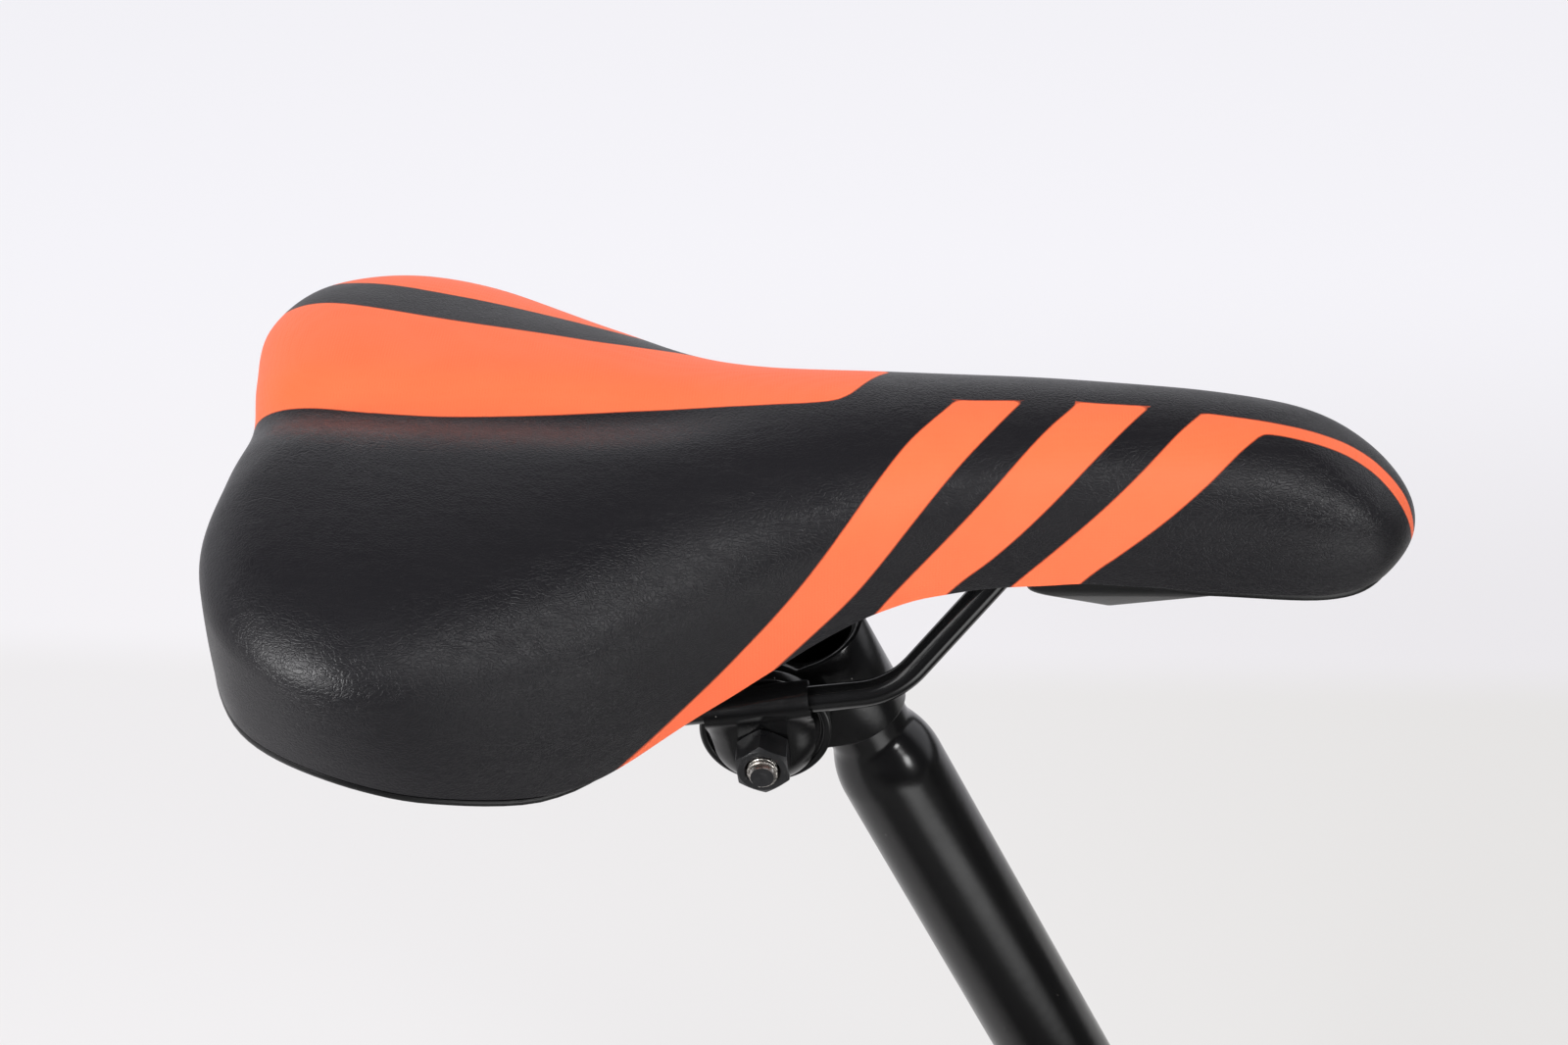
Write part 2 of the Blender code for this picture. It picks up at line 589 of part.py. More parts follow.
def moved_in(rings, depth):
    """The same rings, set back from the surface by a depth."""
    grid = np.array(rings)
    around = np.roll(grid, -1, axis=1) - np.roll(grid, 1, axis=1)
    along = np.gradient(grid, axis=0)
    facing = np.cross(along, around)
    length = np.linalg.norm(facing, axis=2)
    facing[length < 1e-12] = (0.0, 0.0, 1.0)
    facing[-1, :, 2] = 0.0
    facing /= np.linalg.norm(facing, axis=2)[:, :, None]
    facing[0] = (0.0, 0.0, 1.0)
    if facing[3, :, 2].mean() < 0:
        facing = -facing
        facing[0] = (0.0, 0.0, 1.0)
    set_back = grid - facing * depth
    set_back[0, :, 1] = 0.0
    set_back[-1, :, 2] = grid[-1, :, 2]
    return list(set_back)


def dome_base(rows, inward):
    return rows[:, :2] + inward * (tuck(rows) + COVER_THICK + FOAM_EDGE + 2 * TOUCH)


def dome_rings(wall, base_drop):
    """The shell's dome, a wall's thickness under its outside, from the spine down."""
    rows, inward = saddle_edge()
    base = dome_base(rows, inward) + inward * wall
    low = rows[:, 3] - base_drop
    spine = spine_of(rows)
    rings = []
    for out in DOME_RINGS:
        place = spine + (base - spine) * out
        top = smooth_between(CROWN_STATIONS, place[:, 0]) - FOAM_THICK - wall
        height = low + (top - low) * np.sqrt(max(0.0, 1 - out ** DOME_FULLNESS))
        rings.append(ring(place, height))
    return rings


def skin(rings):
    """A closed body from rings, the first and last of which lie along the spine.

    Each square is halved on the same diagonal in every layer, and the two sides mirror.
    """
    bm = bmesh.new()
    rows = [[bm.verts.new(point) for point in line] for line in rings]
    for first, second in zip(rows, rows[1:]):
        wider = sum(abs(b.co.y) - abs(a.co.y) for a, b in zip(first, second)) > 0
        near, far = (first, second) if wider else (second, first)
        count = len(near)
        for index in range(count):
            ahead = (index + 1) % count
            start, end = (index, ahead) if index < count // 2 else (ahead, index)
            bm.faces.new((near[start], near[end], far[end]))
            bm.faces.new((near[start], far[end], far[start]))
    return bm


def build_cover(look, joint):
    outside = cover_rings()
    inside = moved_in(outside, COVER_THICK)
    return finish(new_object("saddle_cover", skin(outside + inside[::-1]), SADDLE_FRAME), look, joint)


def build_foam(look, joint):
    outside = moved_in(cover_rings(), COVER_THICK + TOUCH)
    under = moved_in(dome_rings(0.0, 0.0), -TOUCH)
    under[-1][:, 2] = outside[-1][:, 2]
    return finish(new_object("foam_pad", skin(outside + under[::-1]), SADDLE_FRAME), look, joint)


# Shell: dome, lip, nose keel with its loop pocket, rear rail sockets, and ribs
def under_dome(x, y):
    """Height of the dome's underside, for a place between the spine's ends."""
    rows, inward = saddle_edge()
    base = dome_base(rows, inward) + inward * SHELL_WALL
    left = base[:, 1] > 0
    order = np.argsort(base[left, 0])
    half = np.interp(x, base[left, 0][order], base[left, 1][order])
    low = np.interp(x, base[left, 0][order], rows[left, 3][order]) - SHELL_LIP
    out = min(1.0, abs(y) / half)
    top = float(smooth_between(CROWN_STATIONS, np.array([x]))[0]) - FOAM_THICK - SHELL_WALL
    return low + (top - low) * math.sqrt(1 - out ** DOME_FULLNESS)


def rib(points, depth, rise):
    """A rib under the dome along points, with its root risen into the wall."""
    bm = bmesh.new()
    heading = (Vector(points[-1]) - Vector(points[0])).normalized()
    across = Vector((-heading.y, heading.x)) * RIB_THICK / 2
    rows = []
    for x, y in points:
        top = under_dome(x, y) + rise
        low = top - depth
        places = [(x + across.x, y + across.y, low), (x + across.x, y + across.y, top),
                  (x - across.x, y - across.y, top), (x - across.x, y - across.y, low)]
        rows.append([bm.verts.new(place) for place in places])
    for row, ahead in zip(rows, rows[1:]):
        for corner in range(4):
            beside = (corner + 1) % 4
            bm.faces.new((row[corner], row[beside], ahead[beside], ahead[corner]))
    bm.faces.new(rows[0])
    bm.faces.new(rows[-1][::-1])
    return bm


def build_shell(look, joint):
    rows, inward = saddle_edge()
    shown = np.clip((rows[:, 0] - LIP_SHOWN_TO) / (LIP_HIDDEN_FROM - LIP_SHOWN_TO), 0.0, 1.0)
    lip = rows[:, :2] + inward * (tuck(rows) + LIP_INSET * shown[:, None])
    top, low = rows[:, 3], rows[:, 3] - SHELL_LIP
    rings = dome_rings(0.0, 0.0) + [ring(lip, top), ring(lip, low)] + dome_rings(SHELL_WALL, SHELL_LIP)[::-1]
    shell = new_object("saddle_shell", skin(rings), SADDLE_FRAME)

    floor = RAIL_LOOP_END[1] - RAIL_GROOVE - KEEL_WALL
    roof = RAIL_LOOP_END[1] + RAIL_GROOVE + KEEL_WALL
    keel = bmesh.new()
    for side in (-1, 1):
        keel.verts.new((KEEL_LOW[0], side * KEEL_LOW[1], KEEL_LOW[2]))
        for x, half in (KEEL_REAR, KEEL_FRONT):
            keel.verts.new((x, side * half, floor))
            keel.verts.new((x, side * half, roof))
    bmesh.ops.convex_hull(keel, input=keel.verts)
    carve(shell, new_object("keel", keel, SADDLE_FRAME), "UNION")

    for hand in (-1, 1):
        end = Vector((RAIL_REAR_END[0], hand * RAIL_REAR_END[1], RAIL_REAR_END[2]))
        bend = Vector((RAIL_STRAIGHT_REAR, hand * RAIL_HALF_GAUGE, rail_height(RAIL_STRAIGHT_REAR)))
        along = (end - bend).normalized()
        socket = rod(SOCKET_RADIUS, end - along * SOCKET_DEPTH, end + along * SOCKET_FLOOR, 20)
        carve(shell, new_object("socket", socket, SADDLE_FRAME), "UNION")
        neck_x, neck_y = end.x + SOCKET_NECK_AHEAD, end.y
        neck_top = under_dome(neck_x, neck_y) + ROOT_DEPTH
        square = [(neck_x + a * SOCKET_NECK, neck_y + b * SOCKET_NECK) for a, b in ((-1, -1), (1, -1), (1, 1), (-1, 1))]
        neck = prism(square, end.z - SOCKET_NECK_BELOW, neck_top, "Z")
        carve(shell, new_object("socket_neck", neck, SADDLE_FRAME), "UNION")
        drill = rod(RAIL_GROOVE, end - along * 2 * SOCKET_DEPTH, end + along * TOUCH, 16)
        carve(shell, new_object("socket_drill", drill, SADDLE_FRAME), "DIFFERENCE")

    spine_rib = [(x, 0.0) for x in np.linspace(CROSS_RIBS[0] - SPINE_RIB_PAST, KEEL_REAR[0] + KEEL_WALL, 9)]
    ribs = new_object("spine_rib", rib(spine_rib, SPINE_RIB_DEPTH, ROOT_DEPTH), SADDLE_FRAME)
    for x in CROSS_RIBS:
        share = (CROSS_RIBS[-1] - x) / (CROSS_RIBS[-1] - CROSS_RIBS[0])
        width = CROSS_RIB_HALF_FRONT + (CROSS_RIB_HALF_REAR - CROSS_RIB_HALF_FRONT) * share
        line = [(x, y) for y in np.linspace(-width, width, 9)]
        carve(ribs, new_object("cross_rib", rib(line, CROSS_RIB_DEPTH, CROSS_ROOT_DEPTH), SADDLE_FRAME), "UNION")
    carve(shell, ribs, "UNION")

    loop_x, loop_z = RAIL_LOOP_END
    rise_x, rise_z = RAIL_RISE_TOP
    lean = math.atan2(loop_z - rise_z, loop_x - rise_x)
    half = RAIL_LOOP_HALF + RAIL_GROOVE
    reach = KEEL_FRONT[0] - KEEL_REAR[0]
    pocket = arc((-RAIL_LOOP_HALF, 0.0), half, -math.pi / 2, math.pi / 2, 14)
    pocket += [(-reach, half), (-reach, -half)]
    tool = prism(pocket, -RAIL_GROOVE, RAIL_GROOVE, "Z")
    tool.transform(Matrix.Translation((loop_x, 0.0, loop_z)) @ Matrix.Rotation(-lean, 4, "Y"))
    carve(shell, new_object("loop_pocket", tool, SADDLE_FRAME), "DIFFERENCE")
    return finish(shell, look, joint)


post_paint = material("post_paint", (0.012, 0.012, 0.013), 0.22, 0.0)
clamp_paint = material("clamp_paint", (0.010, 0.010, 0.011), 0.25, 0.0)
rail_paint = material("rail_paint", (0.010, 0.010, 0.011), 0.20, 0.0)
nut_finish = material("nut_finish", (0.020, 0.020, 0.022), 0.35, 0.6)
stud_steel = material("stud_steel", (0.55, 0.53, 0.50), 0.30, 1.0)
shell_plastic = material("shell_plastic", (0.010, 0.010, 0.010), 0.18, 0.0)
foam_look = material("foam", (0.55, 0.52, 0.45), 0.9, 0.0)
cover_look = material("cover_vinyl", (0.020, 0.020, 0.021), 0.45, 0.0)

swivel = joint_empty("band_axis", BAND_FRAME)
tilt = joint_empty("clamp_axis", CLAMP_FRAME)
slide = joint_empty("rail_axis", CLAMP_FRAME)

build_seatpost(post_paint)
build_clamp_band(clamp_paint, swivel)
for side, hand in (("left", 1), ("right", -1)):
    build_inner_plate(f"inner_plate_{side}", hand, clamp_paint, tilt)
    build_outer_plate(f"outer_plate_{side}", hand, clamp_paint, tilt)
    build_nut(f"nut_{side}", hand, nut_finish, tilt)
build_stud(stud_steel, tilt)
build_rails(rail_paint, slide)
build_shell(shell_plastic, slide)
build_foam(foam_look, slide)
build_cover(cover_look, slide)
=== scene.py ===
# Looks of a bicycle saddle on its rail clamp and seatpost.
# Metres, +Z up, +X towards the nose, +Y to the saddle's left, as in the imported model.
import math

import bmesh
import bpy
import numpy as np
from mathutils import Matrix, Vector, noise


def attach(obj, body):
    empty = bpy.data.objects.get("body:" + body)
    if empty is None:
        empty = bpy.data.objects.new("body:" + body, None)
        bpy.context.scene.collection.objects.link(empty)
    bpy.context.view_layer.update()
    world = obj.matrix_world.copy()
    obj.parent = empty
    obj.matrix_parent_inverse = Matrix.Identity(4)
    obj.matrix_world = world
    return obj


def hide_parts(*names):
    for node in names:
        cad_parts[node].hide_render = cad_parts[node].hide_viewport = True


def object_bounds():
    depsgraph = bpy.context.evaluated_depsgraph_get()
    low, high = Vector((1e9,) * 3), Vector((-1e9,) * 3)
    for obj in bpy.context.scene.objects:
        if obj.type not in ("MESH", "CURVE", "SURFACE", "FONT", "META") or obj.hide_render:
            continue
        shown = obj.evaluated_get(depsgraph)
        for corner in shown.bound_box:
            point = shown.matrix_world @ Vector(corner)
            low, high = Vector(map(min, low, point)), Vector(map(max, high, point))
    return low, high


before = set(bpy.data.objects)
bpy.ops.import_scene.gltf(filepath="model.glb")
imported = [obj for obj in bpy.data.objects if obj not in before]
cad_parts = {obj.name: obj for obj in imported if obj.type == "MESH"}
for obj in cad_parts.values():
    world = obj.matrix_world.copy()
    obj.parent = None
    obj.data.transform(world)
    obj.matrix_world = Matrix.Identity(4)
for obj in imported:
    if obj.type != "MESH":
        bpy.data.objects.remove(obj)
cad_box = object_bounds()


# Seatpost: one drawn steel tube, 28.6 mm across, swaged down to a 22.2 mm stub that carries the
# clamp. It is sprayed gloss black, with the faint ripple of thick paint, and slides in the seat tube.
POST_LEAN = math.radians(25.0)
POST_LENGTH = 0.300
POST_RADIUS = 0.0143
POST_WALL = 0.0016
STUB_RADIUS = 0.0111
STUB_LENGTH = 0.0335
SWAGE_LENGTH = 0.0085
SWAGE_FILLET = 0.0090
SHOULDER_FILLET = 0.0280
SAWN_EDGE = 0.0003
POST_ARC_STEPS = 12
ROUND_SIDES = 96
POST_BLACK = (0.0036, 0.0035, 0.0037)
DUST_PALE = (0.32, 0.30, 0.28)


def in_scene(name, data):
    """A new object at the origin, linked to the scene."""
    made = bpy.data.objects.new(name, data)
    bpy.context.scene.collection.objects.link(made)
    return made


def smoothed(mesh, sharp):
    """Smooth shading, broken where two faces meet at more than an angle in degrees."""
    mesh.shade_smooth()
    mesh.set_sharp_from_angle(angle=math.radians(sharp))


def piece_of(name, bm, sharp=35.0):
    """A mesh object at the origin, its doubles merged and its faces turned outwards."""
    bmesh.ops.remove_doubles(bm, verts=bm.verts, dist=2e-6)
    bmesh.ops.dissolve_degenerate(bm, edges=bm.edges, dist=1e-7)
    bmesh.ops.delete(bm, geom=[edge for edge in bm.edges if not edge.link_faces], context="EDGES")
    bmesh.ops.recalc_face_normals(bm, faces=bm.faces)
    mesh = bpy.data.meshes.new(name)
    bm.to_mesh(mesh)
    bm.free()
    smoothed(mesh, sharp)
    return in_scene(name, mesh)


def piece_from(name, points, faces, sharp=35.0):
    """A mesh object from points and the faces between them."""
    bm = bmesh.new()
    places = [bm.verts.new(point) for point in points]
    for face in faces:
        bm.faces.new([places[index] for index in face])
    return piece_of(name, bm, sharp)


def joined_rings(rings, closed):
    """Faces between rings of points, of which each ring is a closed loop of equal count."""
    count = len(rings[0])
    points = [point for ring in rings for point in ring]
    faces = []
    for level in range(len(rings) if closed else len(rings) - 1):
        above = (level + 1) % len(rings)
        for index in range(count):
            beside = (index + 1) % count
            faces.append((level * count + index, level * count + beside,
                          above * count + beside, above * count + index))
    return points, faces


def turned(profile, sides, place):
    """Rings of a closed (radius, height) profile turned about Z, then placed by a matrix."""
    turns = [2 * math.pi * side / sides for side in range(sides)]
    rings = [[place @ Vector((radius * math.cos(a), radius * math.sin(a), height)) for a in turns]
             for radius, height in profile]
    return joined_rings(rings, closed=True)


def round_corners(corners, steps):
    """A line through (point, radius) corners, each turned by an arc of that radius."""
    line = []
    for index, (corner, radius) in enumerate(corners):
        corner = Vector(corner)
        if radius == 0.0:
            line.append(corner)
            continue
        before = (Vector(corners[index - 1][0]) - corner).normalized()
        after = (Vector(corners[(index + 1) % len(corners)][0]) - corner).normalized()
        half = before.angle(after) / 2
        centre = corner + (before + after).normalized() * (radius / math.sin(half))
        first = corner + before * (radius / math.tan(half)) - centre
        last = corner + after * (radius / math.tan(half)) - centre
        sweep = first.angle(last)
        for step in range(steps + 1):
            share = step / steps
            part = first * math.sin((1 - share) * sweep) + last * math.sin(share * sweep)
            line.append(centre + part / math.sin(sweep))
    return [point for point, last in zip(line, [None] + line)
            if last is None or (point - last).length > 1e-5]


def node(tree, kind, inputs=None, **settings):
    """A shader or geometry node. An input given as a socket is linked, any other is set."""
    made = tree.nodes.new(kind)
    for key, value in settings.items():
        setattr(made, key, value)
    for key, value in (inputs or {}).items():
        if isinstance(value, bpy.types.NodeSocket):
            tree.links.new(value, made.inputs[key])
        else:
            made.inputs[key].default_value = value
    return made


def maths(tree, operation, *values):
    """One step of arithmetic."""
    return node(tree, "ShaderNodeMath", dict(enumerate(values)), operation=operation).outputs[0]


def spread(tree, value, start, end, low=0.0, high=1.0, smooth=False):
    """Runs from low to high while a value runs from start to end, and holds beyond them."""
    return node(tree, "ShaderNodeMapRange", {
        "Value": value, "From Min": start, "From Max": end, "To Min": low, "To Max": high},
        interpolation_type="SMOOTHSTEP" if smooth else "LINEAR").outputs[0]


def blend(tree, share, first, second):
    """A mix of two colours, each given as a socket or as red, green and blue."""
    ends = [(*end, 1.0) if isinstance(end, tuple) else end for end in (first, second)]
    return node(tree, "ShaderNodeMix", {0: share, 6: ends[0], 7: ends[1]}, data_type="RGBA").outputs[2]


def mottle(tree, place, scale, detail, **more):
    """Uneven patches over the piece, from 0 to 1."""
    return node(tree, "ShaderNodeTexNoise", {
        "Vector": place, "Scale": scale, "Detail": detail, **more}).outputs["Fac"]


def group_of(name, kind, inputs, outputs):
    """An empty node group, with the sockets that it takes in and those that it gives out."""
    tree = bpy.data.node_groups.new(name, kind)
    for label, socket, value in inputs:
        made = tree.interface.new_socket(name=label, in_out="INPUT", socket_type=socket)
        if value is not None:
            made.default_value = value
    for label, socket in outputs:
        tree.interface.new_socket(name=label, in_out="OUTPUT", socket_type=socket)
    return tree, tree.nodes.new("NodeGroupInput").outputs, tree.nodes.new("NodeGroupOutput").inputs


def new_finish(name, colour, roughness, metallic=0.0, specular=0.5):
    """A material with its Principled shader and the object's own coordinates."""
    made = bpy.data.materials.new(name)
    made.use_nodes = True
    tree = made.node_tree
    shader = tree.nodes["Principled BSDF"]
    shader.inputs["Base Color"].default_value = (*colour, 1.0)
    shader.inputs["Roughness"].default_value = roughness
    shader.inputs["Metallic"].default_value = metallic
    shader.inputs["Specular IOR Level"].default_value = specular
    return made, tree, shader, node(tree, "ShaderNodeTexCoord").outputs["Object"]


def wired(tree, shader, tint, roughness=None, height=None, strength=0.5, depth=0.0001):
    """Joins a colour, a roughness and a bump to the shader."""
    tree.links.new(tint, shader.inputs["Base Color"])
    if roughness is not None:
        tree.links.new(roughness, shader.inputs["Roughness"])
    if height is not None:
        bump = node(tree, "ShaderNodeBump", {"Height": height, "Strength": strength, "Distance": depth})
        tree.links.new(bump.outputs["Normal"], shader.inputs["Normal"])


# Sprayed paint: ripples, a slightly uneven gloss, and a thin scatter of dust
sprayed, asked, given = group_of(
    "sprayed_paint", "ShaderNodeTree",
    [("Place", "NodeSocketVector", None), ("Ripple Scale", "NodeSocketFloat", 420.0),
     ("Gloss", "NodeSocketFloat", 0.2), ("Dust", "NodeSocketFloat", 0.5)],
    [("Height", "NodeSocketFloat"), ("Roughness", "NodeSocketFloat"), ("Dust Mask", "NodeSocketFloat")])
ripple = mottle(sprayed, asked["Place"], asked["Ripple Scale"], 1.0)
uneven = spread(sprayed, mottle(sprayed, asked["Place"], 55.0, 4.0), 0.3, 0.7, 0.8, 1.3)
specks = node(sprayed, "ShaderNodeTexVoronoi", {"Vector": asked["Place"], "Scale": 620.0}).outputs
speck_near = spread(sprayed, specks["Distance"], 0.05, 0.12, 1.0, 0.0)
speck_pick = node(sprayed, "ShaderNodeSeparateColor", {"Color": specks["Color"]}).outputs["Red"]
speck_few = maths(sprayed, "GREATER_THAN", speck_pick, 0.985)
speck_shown = maths(sprayed, "MULTIPLY", speck_near, speck_few)
dusted = maths(sprayed, "MULTIPLY", speck_shown, asked["Dust"])
gloss_now = maths(sprayed, "MULTIPLY", uneven, asked["Gloss"])
sprayed.links.new(ripple, given["Height"])
sprayed.links.new(maths(sprayed, "MULTIPLY_ADD", dusted, 0.4, gloss_now), given["Roughness"])
sprayed.links.new(dusted, given["Dust Mask"])


def black_paint(name, colour, gloss, ripple_scale, ripple_depth, dust, specular=0.5):
    """Gloss black paint on steel."""
    made, tree, shader, place = new_finish(name, colour, gloss, specular=specular)
    coat = node(tree, "ShaderNodeGroup", {
        "Place": place, "Ripple Scale": ripple_scale, "Gloss": gloss, "Dust": dust}, node_tree=sprayed).outputs
    wired(tree, shader, blend(tree, coat["Dust Mask"], colour, DUST_PALE), coat["Roughness"],
          coat["Height"], depth=ripple_depth)
    return made


POST_UP = Vector((-math.sin(POST_LEAN), 0.0, math.cos(POST_LEAN)))
POST_AHEAD = Vector((math.cos(POST_LEAN), 0.0, math.sin(POST_LEAN)))
post_frame = Matrix.Rotation(-POST_LEAN, 4, "Y")
swage_top = POST_LENGTH - STUB_LENGTH
tube_outside = [tuple(point) for point in round_corners([
    ((POST_RADIUS - SAWN_EDGE, 0.0), 0.0),
    ((POST_RADIUS, 0.0), SAWN_EDGE),
    ((POST_RADIUS, swage_top - SWAGE_LENGTH), SHOULDER_FILLET),
    ((STUB_RADIUS, swage_top), SWAGE_FILLET),
    ((STUB_RADIUS, POST_LENGTH), SAWN_EDGE),
    ((STUB_RADIUS - SAWN_EDGE, POST_LENGTH), 0.0),
], POST_ARC_STEPS)]
tube_inside = [(radius - POST_WALL + SAWN_EDGE, height) for radius, height in reversed(tube_outside)]
post = piece_from("seatpost_tube", *turned(tube_outside + tube_inside, ROUND_SIDES, post_frame))
post_paint = black_paint("post_paint", POST_BLACK, gloss=0.19, ripple_scale=330.0,
                         ripple_depth=0.00005, dust=0.6, specular=0.38)
post.data.materials.append(post_paint)
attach(post, "post")
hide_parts("seatpost")


# Clamp band: a 1.7 mm steel strip bent round the stub and pressed into two flat ears behind it.
# The ears carry coined serrations, and the stud passes through them. It is painted with the plates.
TOUCH = 0.0003
BAND_WALL = 0.0017
BAND_HEIGHT = 0.0280
BAND_ARC_STEPS = 48
STUD_BEHIND_POST = 0.0180
STUD_BELOW_BAND_TOP = 0.0100
STUB_PROUD = 0.0015
STUD_HEIGHT = POST_LENGTH + STUB_PROUD - STUD_BELOW_BAND_TOP
EAR_RADIUS = 0.0160
EAR_FROM = math.radians(35.0)
EAR_TO = math.radians(288.0)
EAR_ARC_STEPS = 72
BAND_INNER = STUB_RADIUS + TOUCH
BAND_OUTER = BAND_INNER + BAND_WALL
STUD_HOLE = 0.0043
DRILL_SIDES = 48
PRESSED_EDGE = 0.00035
CLAMP_BLACK = (0.0038, 0.0038, 0.0040)


def arc(centre, radius, start, end, steps):
    """Points on an arc, from its start to its end."""
    turns = [start + (end - start) * step / steps for step in range(steps + 1)]
    return [(centre[0] + radius * math.cos(a), centre[1] + radius * math.sin(a)) for a in turns]


def pushed_out(name, outline, low, high, axis, place):
    """A closed outline pushed out from low to high along an axis, placed by a matrix."""
    lift = {"Y": lambda a, b, h: (a, h, b), "Z": lambda a, b, h: (a, b, h)}[axis]
    rings = [[place @ Vector(lift(a, b, height)) for a, b in outline] for height in (low, high)]
    points, faces = joined_rings(rings, closed=False)
    count = len(outline)
    ends = [tuple(range(count)), tuple(range(2 * count - 1, count - 1, -1))]
    return piece_from(name, points, faces + ends)


def plain_mesh(piece):
    """Takes the piece's modifiers into its mesh."""
    bpy.context.view_layer.update()
    made = bpy.data.meshes.new_from_object(piece.evaluated_get(bpy.context.evaluated_depsgraph_get()))
    piece.modifiers.clear()
    piece.data = made


def cut(piece, tool, operation):
    """Cuts a piece by a tool, or keeps what the two share, and removes the tool."""
    change = piece.modifiers.new(operation.lower(), "BOOLEAN")
    change.operation = operation
    change.solver = "EXACT"
    change.object = tool
    plain_mesh(piece)
    bpy.data.objects.remove(tool, do_unlink=True)


def softened(piece, width, segments=2, angle=38.0):
    """Rounds the edges that a press or a mould leaves, and smooths the faces between them."""
    change = piece.modifiers.new("edges", "BEVEL")
    change.width = width
    change.segments = segments
    change.limit_method = "ANGLE"
    change.angle_limit = math.radians(angle)
    change.use_clamp_overlap = True
    change.miter_outer = "MITER_ARC"
    plain_mesh(piece)
    smoothed(piece.data, 42.0)
    return piece


def rod(name, radius, start, end, sides):
    """A plain drill or core between two points."""
    start, end = Vector(start), Vector(end)
    length = (end - start).length
    turn = (end - start).to_track_quat("Z", "Y").to_matrix().to_4x4()
    profile = [(0.0, 0.0), (radius, 0.0), (radius, length), (0.0, length)]
    return piece_from(name, *turned(profile, sides, Matrix.Translation(start) @ turn))


band_frame = Matrix.Translation(POST_UP * STUD_HEIGHT) @ post_frame
quarter = math.pi / 2
rear = -(STUD_BEHIND_POST + EAR_RADIUS + BAND_WALL)
strip = [(rear, -BAND_OUTER)] + arc((0, 0), BAND_OUTER, -quarter, quarter, BAND_ARC_STEPS) + [(rear, BAND_OUTER)]
strip += [(rear, BAND_INNER)] + arc((0, 0), BAND_INNER, quarter, -quarter, BAND_ARC_STEPS) + [(rear, -BAND_INNER)]
band = pushed_out("clamp_band_strip", strip, -BAND_HEIGHT, BAND_HEIGHT, "Z", band_frame)
band_low = STUD_BELOW_BAND_TOP - BAND_HEIGHT
band_side = [(BAND_OUTER + BAND_WALL, band_low), (BAND_OUTER + BAND_WALL, STUD_BELOW_BAND_TOP)]
band_side += arc((-STUD_BEHIND_POST, 0), EAR_RADIUS, EAR_FROM, EAR_TO, EAR_ARC_STEPS)
band_side.append((-STUD_BEHIND_POST + EAR_RADIUS, band_low))
cut(band, pushed_out("band_side", band_side, -2 * BAND_OUTER, 2 * BAND_OUTER, "Y", band_frame), "INTERSECT")
drill_reach = Vector((0.0, 2 * BAND_OUTER, 0.0))
stud_in_band = Vector((-STUD_BEHIND_POST, 0.0, 0.0))
cut(band, rod("band_drill", STUD_HOLE, band_frame @ (stud_in_band - drill_reach),
              band_frame @ (stud_in_band + drill_reach), DRILL_SIDES), "DIFFERENCE")
softened(band, PRESSED_EDGE)
clamp_paint = black_paint("clamp_paint", CLAMP_BLACK, gloss=0.20, ripple_scale=520.0,
                          ripple_depth=0.00006, dust=0.8, specular=0.38)
band.data.materials.append(clamp_paint)
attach(band, "band")
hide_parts("clamp_band")


# Serrations: thirty radial teeth coined into each ear and each inner plate, 0.9 mm high, so that
# the saddle's tilt holds when the nuts are done up. Each ring is of one piece with its plate.
TOOTH_COUNT = 30
TOOTH_HEIGHT = 0.0009
TOOTH_WIDTH = 0.0017
TOOTH_INNER = 0.0078
TOOTH_OUTER = 0.0148
EAR_CREST = BAND_OUTER + TOOTH_HEIGHT
DISC_CREST = EAR_CREST + TOUCH

# Each tooth is a square bar laid on its edge, flattened to the tooth's height
serrations, asked, given = group_of(
    "coined_serrations", "GeometryNodeTree",
    [("Geometry", "NodeSocketGeometry", None), ("Teeth", "NodeSocketInt", TOOTH_COUNT),
     ("Mean Radius", "NodeSocketFloat", (TOOTH_INNER + TOOTH_OUTER) / 2),
     ("Length", "NodeSocketFloat", TOOTH_OUTER - TOOTH_INNER), ("Width", "NodeSocketFloat", TOOTH_WIDTH),
     ("Height", "NodeSocketFloat", TOOTH_HEIGHT), ("Paint", "NodeSocketMaterial", None)],
    [("Geometry", "NodeSocketGeometry")])
bar_size = node(serrations, "ShaderNodeCombineXYZ", {
    "X": asked["Length"], "Y": asked["Width"], "Z": asked["Width"]})
bar = node(serrations, "GeometryNodeMeshCube", {"Size": bar_size.outputs[0]})
bar_turned = node(serrations, "GeometryNodeTransform", {
    "Geometry": bar.outputs["Mesh"], "Rotation": (math.pi / 4, 0, 0)})
bar_half = maths(serrations, "MULTIPLY", asked["Width"], math.sqrt(0.5))
bar_flat = maths(serrations, "DIVIDE", asked["Height"], bar_half)
bar_scale = node(serrations, "ShaderNodeCombineXYZ", {"X": 1.0, "Y": 1.0, "Z": bar_flat})
bar_out = node(serrations, "ShaderNodeCombineXYZ", {"X": asked["Mean Radius"]})
bar_placed = node(serrations, "GeometryNodeTransform", {
    "Geometry": bar_turned.outputs[0], "Translation": bar_out.outputs[0], "Scale": bar_scale.outputs[0]})
stations = node(serrations, "GeometryNodeMeshLine", {"Count": asked["Teeth"], "Offset": (0, 0, 0)})
which = node(serrations, "GeometryNodeInputIndex").outputs[0]
pitch = maths(serrations, "DIVIDE", 2 * math.pi, asked["Teeth"])
turn_to = node(serrations, "FunctionNodeAxisAngleToRotation", {
    "Axis": (0, 0, 1), "Angle": maths(serrations, "MULTIPLY", which, pitch)})
teeth_set = node(serrations, "GeometryNodeInstanceOnPoints", {
    "Points": stations.outputs[0], "Instance": bar_placed.outputs[0], "Rotation": turn_to.outputs[0]})
teeth_real = node(serrations, "GeometryNodeRealizeInstances", {"Geometry": teeth_set.outputs[0]})
